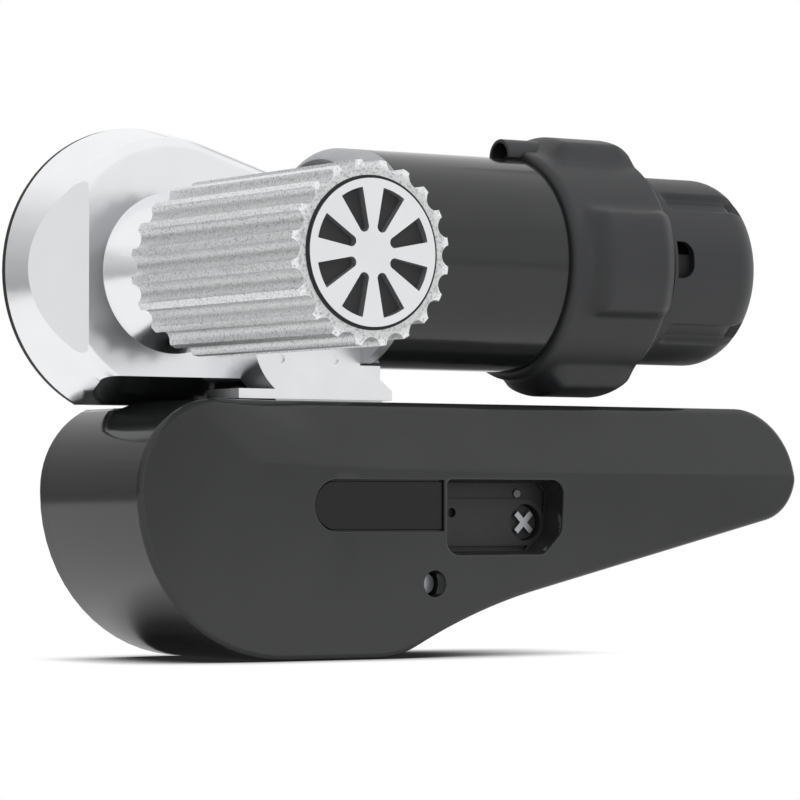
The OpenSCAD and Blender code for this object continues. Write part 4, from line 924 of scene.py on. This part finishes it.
class MOVER_OT_motor(bpy.types.Operator):
    """Motor tube with its end shield, and what turns in it"""

    bl_idname = "mover.motor"
    bl_label = "Motor"

    def execute(self, context):
        edge = context.scene.mover_sizes.fine_edge
        dress("motor_tube", "tube", edge)
        dress("end_shield", "shield", edge)
        for node in ("shield_screws", "motor_bearings", "armature_shaft"):
            colour_node(node, "ground")
        colour_node("magnets", "magnet")
        colour_node("brush_holder", "holder")
        colour_node("brushes", "carbon")
        colour_node("armature_core", "blacked")
        colour_node("windings", "copper")
        colour_node("commutator", "bar")
        return {"FINISHED"}


class MOVER_OT_shroud(bpy.types.Operator):
    """Plastic collar round the motor with four soft bumps and the cable duct"""

    bl_idname = "mover.shroud"
    bl_label = "Shroud"

    def collar(self, sizes, start):
        """Turned collar with a round front lip, raised into four bumps."""
        end = TUBE_HIGH.x + 1 * MM
        inner, base = TUBE_R + 0.1 * MM, TUBE_R + sizes.shroud_wall
        top = SHROUD_HIGH.z - MOTOR_AXIS.z
        rows = 40
        skin = [(start + 3 * MM + (end - 8 * MM - start) * i / rows, base) for i in range(rows + 1)]
        lip = base - inner - 0.2 * MM
        nose = [(start + lip * (1 - math.sin(a)), base - lip * (1 - math.cos(a)))
                for a in (QUARTER * (1 - i / 6) for i in range(6))]
        # the rear slopes in over the end of the tube, and turns in behind it
        rear_r = TUBE_R - 5.4 * MM
        rear = [
            (end - 3.4 * MM, base - 1.2 * MM), (end - 1.7 * MM, base - 2.9 * MM), (end, base - 4.6 * MM),
            (end + 1.6 * MM, TUBE_R - 3 * MM), (end + 1.6 * MM, rear_r), (end, rear_r),
            (end - 0.6 * MM, rear_r), (end - 0.6 * MM, inner),
        ]
        bm = turned([(start, inner)] + nose + skin + rear, sizes.turn_steps)
        side_from, side_to = sizes.bump_angle - math.radians(4.5), sizes.bump_angle + math.radians(5.5)
        for vert in bm.verts:
            arm = motor_arm(vert)
            if arm.length < inner + 0.3 * MM and vert.co.x < end - 1e-6 or vert.co.x > end + 0.5 * MM:
                continue
            across = 1 - ease(off_spoke(arm, 0), side_from, side_to)
            rise = ease(vert.co.x, start + 5 * MM, start + 14 * MM)
            fall = 1 - ease(vert.co.x, end - 11 * MM, end + 1.5 * MM)
            vert.co += arm.normalized() * (top - base) * across * rise * fall
        bmesh.ops.recalc_face_normals(bm, faces=bm.faces)
        show("motor_shroud_skin", bm, "shroud", "motor_shroud", 40)

    def duct(self, start):
        """Cable duct: an arch that stands on the tube and runs into the top bump."""
        inner_r, outer_r = 5.0 * MM, 6.5 * MM
        sweep = math.radians(196)
        centre = Vector((0, MOTOR_AXIS.y - 2 * MM, MOTOR_AXIS.z + TUBE_R + 0.4 * MM))
        near, far = SHROUD_LOW.x, start + 18 * MM
        bm = bmesh.new()
        ring = [(near, inner_r), (near, outer_r), (far, outer_r), (far, inner_r)]
        verts = [bm.verts.new(centre + Vector((x, 0, r))) for x, r in ring]
        for a, b in zip(verts, verts[1:] + verts[:1]):
            bm.edges.new((a, b))
        bmesh.ops.rotate(bm, cent=centre, matrix=Matrix.Rotation(-sweep / 2, 3, "X"), verts=bm.verts)
        bmesh.ops.spin(
            bm, geom=bm.verts[:] + bm.edges[:], cent=centre, axis=(1, 0, 0), angle=sweep, steps=40
        )
        bmesh.ops.holes_fill(bm, edges=bm.edges, sides=4)
        bmesh.ops.recalc_face_normals(bm, faces=bm.faces)
        soften(show("cable_duct", bm, "shroud", "motor_shroud"), 0.5 * MM)

    def execute(self, context):
        # the collar takes in this much of the tube's rear end
        start = TUBE_HIGH.x - 46 * MM
        self.collar(context.scene.mover_sizes, start)
        self.duct(start)
        return {"FINISHED"}


class MOVER_OT_end_cap(bpy.types.Operator):
    """End cap of the motor with four lobes, the channels between them and the vent"""

    bl_idname = "mover.end_cap"
    bl_label = "Motor end cap"

    def lobes(self, sizes):
        """Turned cap with a round end, and four channels between its lobes."""
        start, end = CAP_LOW.x, CAP_HIGH.x
        radius = (CAP_HIGH.z - CAP_LOW.z) / 2
        wall, round_r = 3 * MM, 13 * MM
        spigot, spigot_r = start + 4 * MM, radius - 2.2 * MM
        rows = 20
        side = [(spigot + (end - round_r - start - 4 * MM) * i / rows, radius) for i in range(rows)]
        corner = [
            (end - round_r + round_r * math.sin(a), radius - round_r + round_r * math.cos(a))
            for a in (QUARTER * i / 12 for i in range(13))
        ]
        points = [(start, spigot_r), (spigot, spigot_r)] + side + corner + [
            (end, radius * 0.45), (end, 0.0), (end - wall, 0.0), (end - wall, radius - round_r),
            (end - round_r, radius - wall), (start, radius - wall),
        ]
        bm = turned(points, sizes.turn_steps * 2)
        groove_x, groove_half = start + 7 * MM, sizes.groove_width / 2
        for vert in bm.verts:
            arm = motor_arm(vert)
            outer = arm.length > radius - wall + 0.2 * MM or vert.co.x > end - wall + 0.2 * MM
            if not outer or vert.co.x < groove_x or arm.length < radius * 0.5:
                continue
            aside = off_spoke(arm, QUARTER / 2) * arm.length
            inside = 1 - ease(aside, groove_half - 0.6 * MM, groove_half + 1.2 * MM)
            inside *= ease(vert.co.x, groove_x, groove_x + 2 * MM)
            vert.co -= arm.normalized() * sizes.groove_depth * inside
            vert.co.x -= sizes.groove_depth * inside * ease(vert.co.x, end - round_r, end)
        bmesh.ops.recalc_face_normals(bm, faces=bm.faces)
        return show("motor_end_cap_skin", bm, "shroud", "motor_end_cap", 45)

    def vent(self, cap, sizes):
        """D-shaped vent in the front lobe, with a black block behind it as painted shade for its dark inside.
        """
        start, front, level = CAP_LOW.x, CAP_LOW.y, MOTOR_AXIS.z
        round_r = 5 * MM
        cutter = block((start + 5.5 * MM, front - 2 * MM, level - 4.5 * MM),
                       (start + 12.8 * MM, front + 6 * MM, level + 9 * MM))
        far = [e for e in deep_edges(cutter) if e.verts[0].co.x > start + 9 * MM]
        round_off(cutter, far, round_r, 6)
        carve(cap, cutter)
        # painted shade: a black block that darkens the inside of the vent
        vent_shade = block((start + 5 * MM, front + 3.4 * MM, level - 6 * MM),
                     (start + 14 * MM, front + 4.4 * MM, level + 10.5 * MM))
        soften(show("vent_shade_block", vent_shade, "vent_shade", "motor_end_cap", stands=False), sizes.fine_edge * 0.5)

    def execute(self, context):
        sizes = context.scene.mover_sizes
        self.vent(self.lobes(sizes), sizes)
        return {"FINISHED"}


class MOVER_OT_roller(bpy.types.Operator):
    """Gritted roller with its cap, backing and seal, and its shaft"""

    bl_idname = "mover.roller"
    bl_label = "Roller"

    def execute(self, context):
        sizes = context.scene.mover_sizes
        # the fluted end is nearly flat, and reaches forward round the seal so that the cap lies nearly flush
        end_depth, flattened = 2.5 * MM, 0.2
        bm = merged("roller")
        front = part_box("roller")[0].y
        for vert in bm.verts:
            depth = vert.co.y - front
            if depth < end_depth:
                vert.co.y = front - sizes.roller_reach + depth * flattened
        soften(show("roller_skin", bm, "roller", "roller"), sizes.roller_edge, 3)
        dress("roller_cap", "cap", sizes.fine_edge)
        dress("cap_backing", "tray", sizes.fine_edge * 0.5)
        dress("cap_seal", "rubber", sizes.fine_edge * 0.5)
        colour_node("roller_shaft", "ground")
        colour_node("roller_bolt", "steel")
        colour_node("shaft_keys", "blacked")
        colour_node("main_gear", "ground")
        return {"FINISHED"}


class MOVER_OT_stage(bpy.types.Operator):
    """White studio with a pale floor, soft lamps and the camera"""

    bl_idname = "mover.stage"
    bl_label = "Studio"

    def stand(self, name, bm, material):
        """Stands a bmesh in the studio, beside the object."""
        mesh = bpy.data.meshes.new(name)
        bm.to_mesh(mesh)
        bm.free()
        mesh.materials.append(material)
        made = bpy.data.objects.new(name, mesh)
        bpy.context.scene.collection.objects.link(made)
        return made

    def surroundings(self, scene, studio):
        """White for the eye and in reflections, softer on matt surfaces."""
        world = bpy.data.worlds.new("white_studio")
        scene.world = world
        world.use_nodes = True
        tree = world.node_tree
        tree.nodes.clear()
        path = put(tree, "ShaderNodeLightPath").outputs
        mirrored = put(
            tree, "ShaderNodeMath", links={0: path["Is Camera Ray"], 1: path["Is Glossy Ray"]},
            operation="MAXIMUM",
        )
        seen = put(
            tree, "ShaderNodeMath", links={0: mirrored.outputs[0], 1: path["Is Transmission Ray"]},
            operation="MAXIMUM",
        )
        level = put(
            tree, "ShaderNodeMapRange", {"To Min": studio.sky, "To Max": 1.0}, {"Value": seen.outputs[0]}
        )
        sky = put(tree, "ShaderNodeBackground", {"Color": WHITE}, {"Strength": level.outputs["Result"]})
        put(tree, "ShaderNodeOutputWorld", links={"Surface": sky.outputs["Background"]})

    def floor(self):
        """White floor that glows for the eye and in reflections, with a painted shadow where ambient occlusion
        finds the object near.
        """
        half_side, below, shadow_reach = 4.0, 0.1 * MM, 35 * MM
        bm = bmesh.new()
        bmesh.ops.create_grid(bm, x_segments=1, y_segments=1, size=half_side)
        bmesh.ops.translate(bm, vec=(0, 0, CAD_BOX[0].z - below), verts=bm.verts)
        paper, tree = bare("white_floor_painted_shadow")
        matt = put(tree, "ShaderNodeBsdfDiffuse", {"Color": linear("#d8d8d8")})
        # painted shadow: ambient occlusion dims the floor's glow close under and beside the object
        painted_shadow_ao = put(tree, "ShaderNodeAmbientOcclusion", {"Distance": shadow_reach}, samples=16)
        share = put(
            tree, "ShaderNodeMapRange", {"From Min": 0.25, "From Max": 0.85, "To Min": 0.02, "To Max": 1.0},
            {"Value": painted_shadow_ao.outputs["AO"]},
        )
        glow = put(tree, "ShaderNodeEmission", {"Color": WHITE}, {"Strength": share.outputs["Result"]})
        path = put(tree, "ShaderNodeLightPath").outputs
        seen = put(
            tree, "ShaderNodeMath", links={0: path["Is Camera Ray"], 1: path["Is Glossy Ray"]},
            operation="MAXIMUM",
        )
        pick = put(
            tree, "ShaderNodeMixShader", links={0: seen.outputs[0], 1: matt.outputs[0], 2: glow.outputs[0]}
        )
        put(tree, "ShaderNodeOutputMaterial", links={"Surface": pick.outputs[0]})
        self.stand("floor", bm, paper)

    def screens(self):
        """Paper screens beside the object, grey to pale from the foot up, for metal and gloss to mirror."""
        for name, place, wide, high, greys in (
            ("screen_nose", (-0.54, 0.6, 0.75), 2.6, 1.6, ((0.0, 0.34), (0.3, 0.66), (0.55, 1.0))),
            ("screen_left", (-1.08, -0.65, 0.3), 0.9, 0.7, ((0.0, 0.8), (1.0, 0.86))),
            ("screen_right", (0.8, -1.2, 0.45), 2.0, 1.0,
             ((0.0, 0.92), (0.06, 0.76), (0.11, 0.72), (0.18, 0.92))),
            ("screen_top", (1.15, 0.32, 1.1), 0.7, 0.7, ((0.0, 0.55), (1.0, 0.6))),
        ):
            card, tree = bare("paper_" + name)
            coordinates = put(tree, "ShaderNodeTexCoord")
            where = put(tree, "ShaderNodeSeparateXYZ", links={0: coordinates.outputs["Object"]})
            foot, head = place[2] - high / 2, place[2] + high / 2
            up = put(
                tree, "ShaderNodeMapRange", {"From Min": foot, "From Max": head}, {"Value": where.outputs["Z"]}
            )
            shade = put(
                tree, "ShaderNodeValToRGB", links={"Fac": up.outputs["Result"]},
                stops=[(at, (grey, grey, grey, 1)) for at, grey in greys],
            )
            glow = put(tree, "ShaderNodeEmission", {"Strength": 1.0}, {"Color": shade.outputs["Color"]})
            put(tree, "ShaderNodeOutputMaterial", links={"Surface": glow.outputs[0]})
            bm = bmesh.new()
            bmesh.ops.create_grid(bm, x_segments=1, y_segments=1, size=0.5)
            facing = Matrix.Rotation(math.atan2(AIM.y - place[1], AIM.x - place[0]) + QUARTER, 4, "Z")
            facing = facing @ Matrix.Rotation(QUARTER, 4, "X") @ Matrix.Diagonal((wide, high, 1, 1))
            bmesh.ops.transform(bm, matrix=Matrix.Translation(place) @ facing, verts=bm.verts)
            screen = self.stand(name, bm, card)
            screen.visible_camera = screen.visible_diffuse = screen.visible_shadow = False

    def lamps(self, scene, studio):
        """A wide key from the upper right and a fill from the left, which gloss doesn't mirror."""
        for name, place, power, wide, high in (
            ("key", (0.7, -1.1, 1.2), studio.key, 0.9, 0.7),
            ("fill", (-0.5, -1.3, 0.4), studio.fill, 0.8, 0.8),
        ):
            lamp = bpy.data.lights.new(name, "AREA")
            lamp.shape = "RECTANGLE"
            lamp.size, lamp.size_y = wide, high
            lamp.energy = power
            holder = bpy.data.objects.new(name, lamp)
            scene.collection.objects.link(holder)
            holder.location = place
            holder.rotation_euler = (AIM - Vector(place)).to_track_quat("-Z", "Y").to_euler()
            holder.visible_glossy = False

    def camera(self, scene, studio):
        """Camera low in front of the nose, with a long lens."""
        camera = bpy.data.cameras.new("camera")
        camera.lens = studio.lens
        camera.sensor_width = 36.0
        camera.clip_start, camera.clip_end = 0.05, 20.0
        eye = bpy.data.objects.new("camera", camera)
        scene.collection.objects.link(eye)
        eye.location = EYE
        eye.rotation_euler = EYE_TURN
        scene.camera = eye

    def execute(self, context):
        scene = context.scene
        studio = scene.mover_studio
        scene.view_settings.view_transform = "Standard"
        self.surroundings(scene, studio)
        self.floor()
        self.screens()
        self.lamps(scene, studio)
        self.camera(scene, studio)
        return {"FINISHED"}


class MOVER_PT_panel(bpy.types.Panel):
    """Lists the mover's pieces, sizes and colours"""

    bl_idname = "MOVER_PT_panel"
    bl_label = "Motor mover"
    bl_space_type = "VIEW_3D"
    bl_region_type = "UI"
    bl_category = "Mover"

    def draw(self, context):
        layout = self.layout
        for operator in PIECES:
            layout.operator(operator.bl_idname)
        for group in (context.scene.mover_sizes, context.scene.mover_colours, context.scene.mover_studio):
            box = layout.box()
            for key in group.__annotations__:
                box.prop(group, key)


PIECES = (
    MOVER_OT_cover, MOVER_OT_front, MOVER_OT_engage, MOVER_OT_carriage, MOVER_OT_gearbox, MOVER_OT_motor,
    MOVER_OT_shroud, MOVER_OT_end_cap, MOVER_OT_roller, MOVER_OT_stage,
)
GROUPS = (MoverSizes, MoverColours, MoverStudio)


def register():
    for made in GROUPS + PIECES + (MOVER_PT_panel,):
        bpy.utils.register_class(made)
    bpy.types.Scene.mover_sizes = PointerProperty(type=MoverSizes)
    bpy.types.Scene.mover_colours = PointerProperty(type=MoverColours)
    bpy.types.Scene.mover_studio = PointerProperty(type=MoverStudio)


def unregister():
    del bpy.types.Scene.mover_studio
    del bpy.types.Scene.mover_colours
    del bpy.types.Scene.mover_sizes
    for made in reversed(GROUPS + PIECES + (MOVER_PT_panel,)):
        bpy.utils.unregister_class(made)


def main():
    register()
    make_finishes(bpy.context.scene.mover_colours)
    bpy.ops.mover.cover()
    bpy.ops.mover.front()
    bpy.ops.mover.engage()
    bpy.ops.mover.carriage()
    bpy.ops.mover.gearbox()
    bpy.ops.mover.motor()
    bpy.ops.mover.shroud()
    bpy.ops.mover.end_cap()
    bpy.ops.mover.roller()
    bpy.ops.mover.stage()


if __name__ == "__main__":
    main()
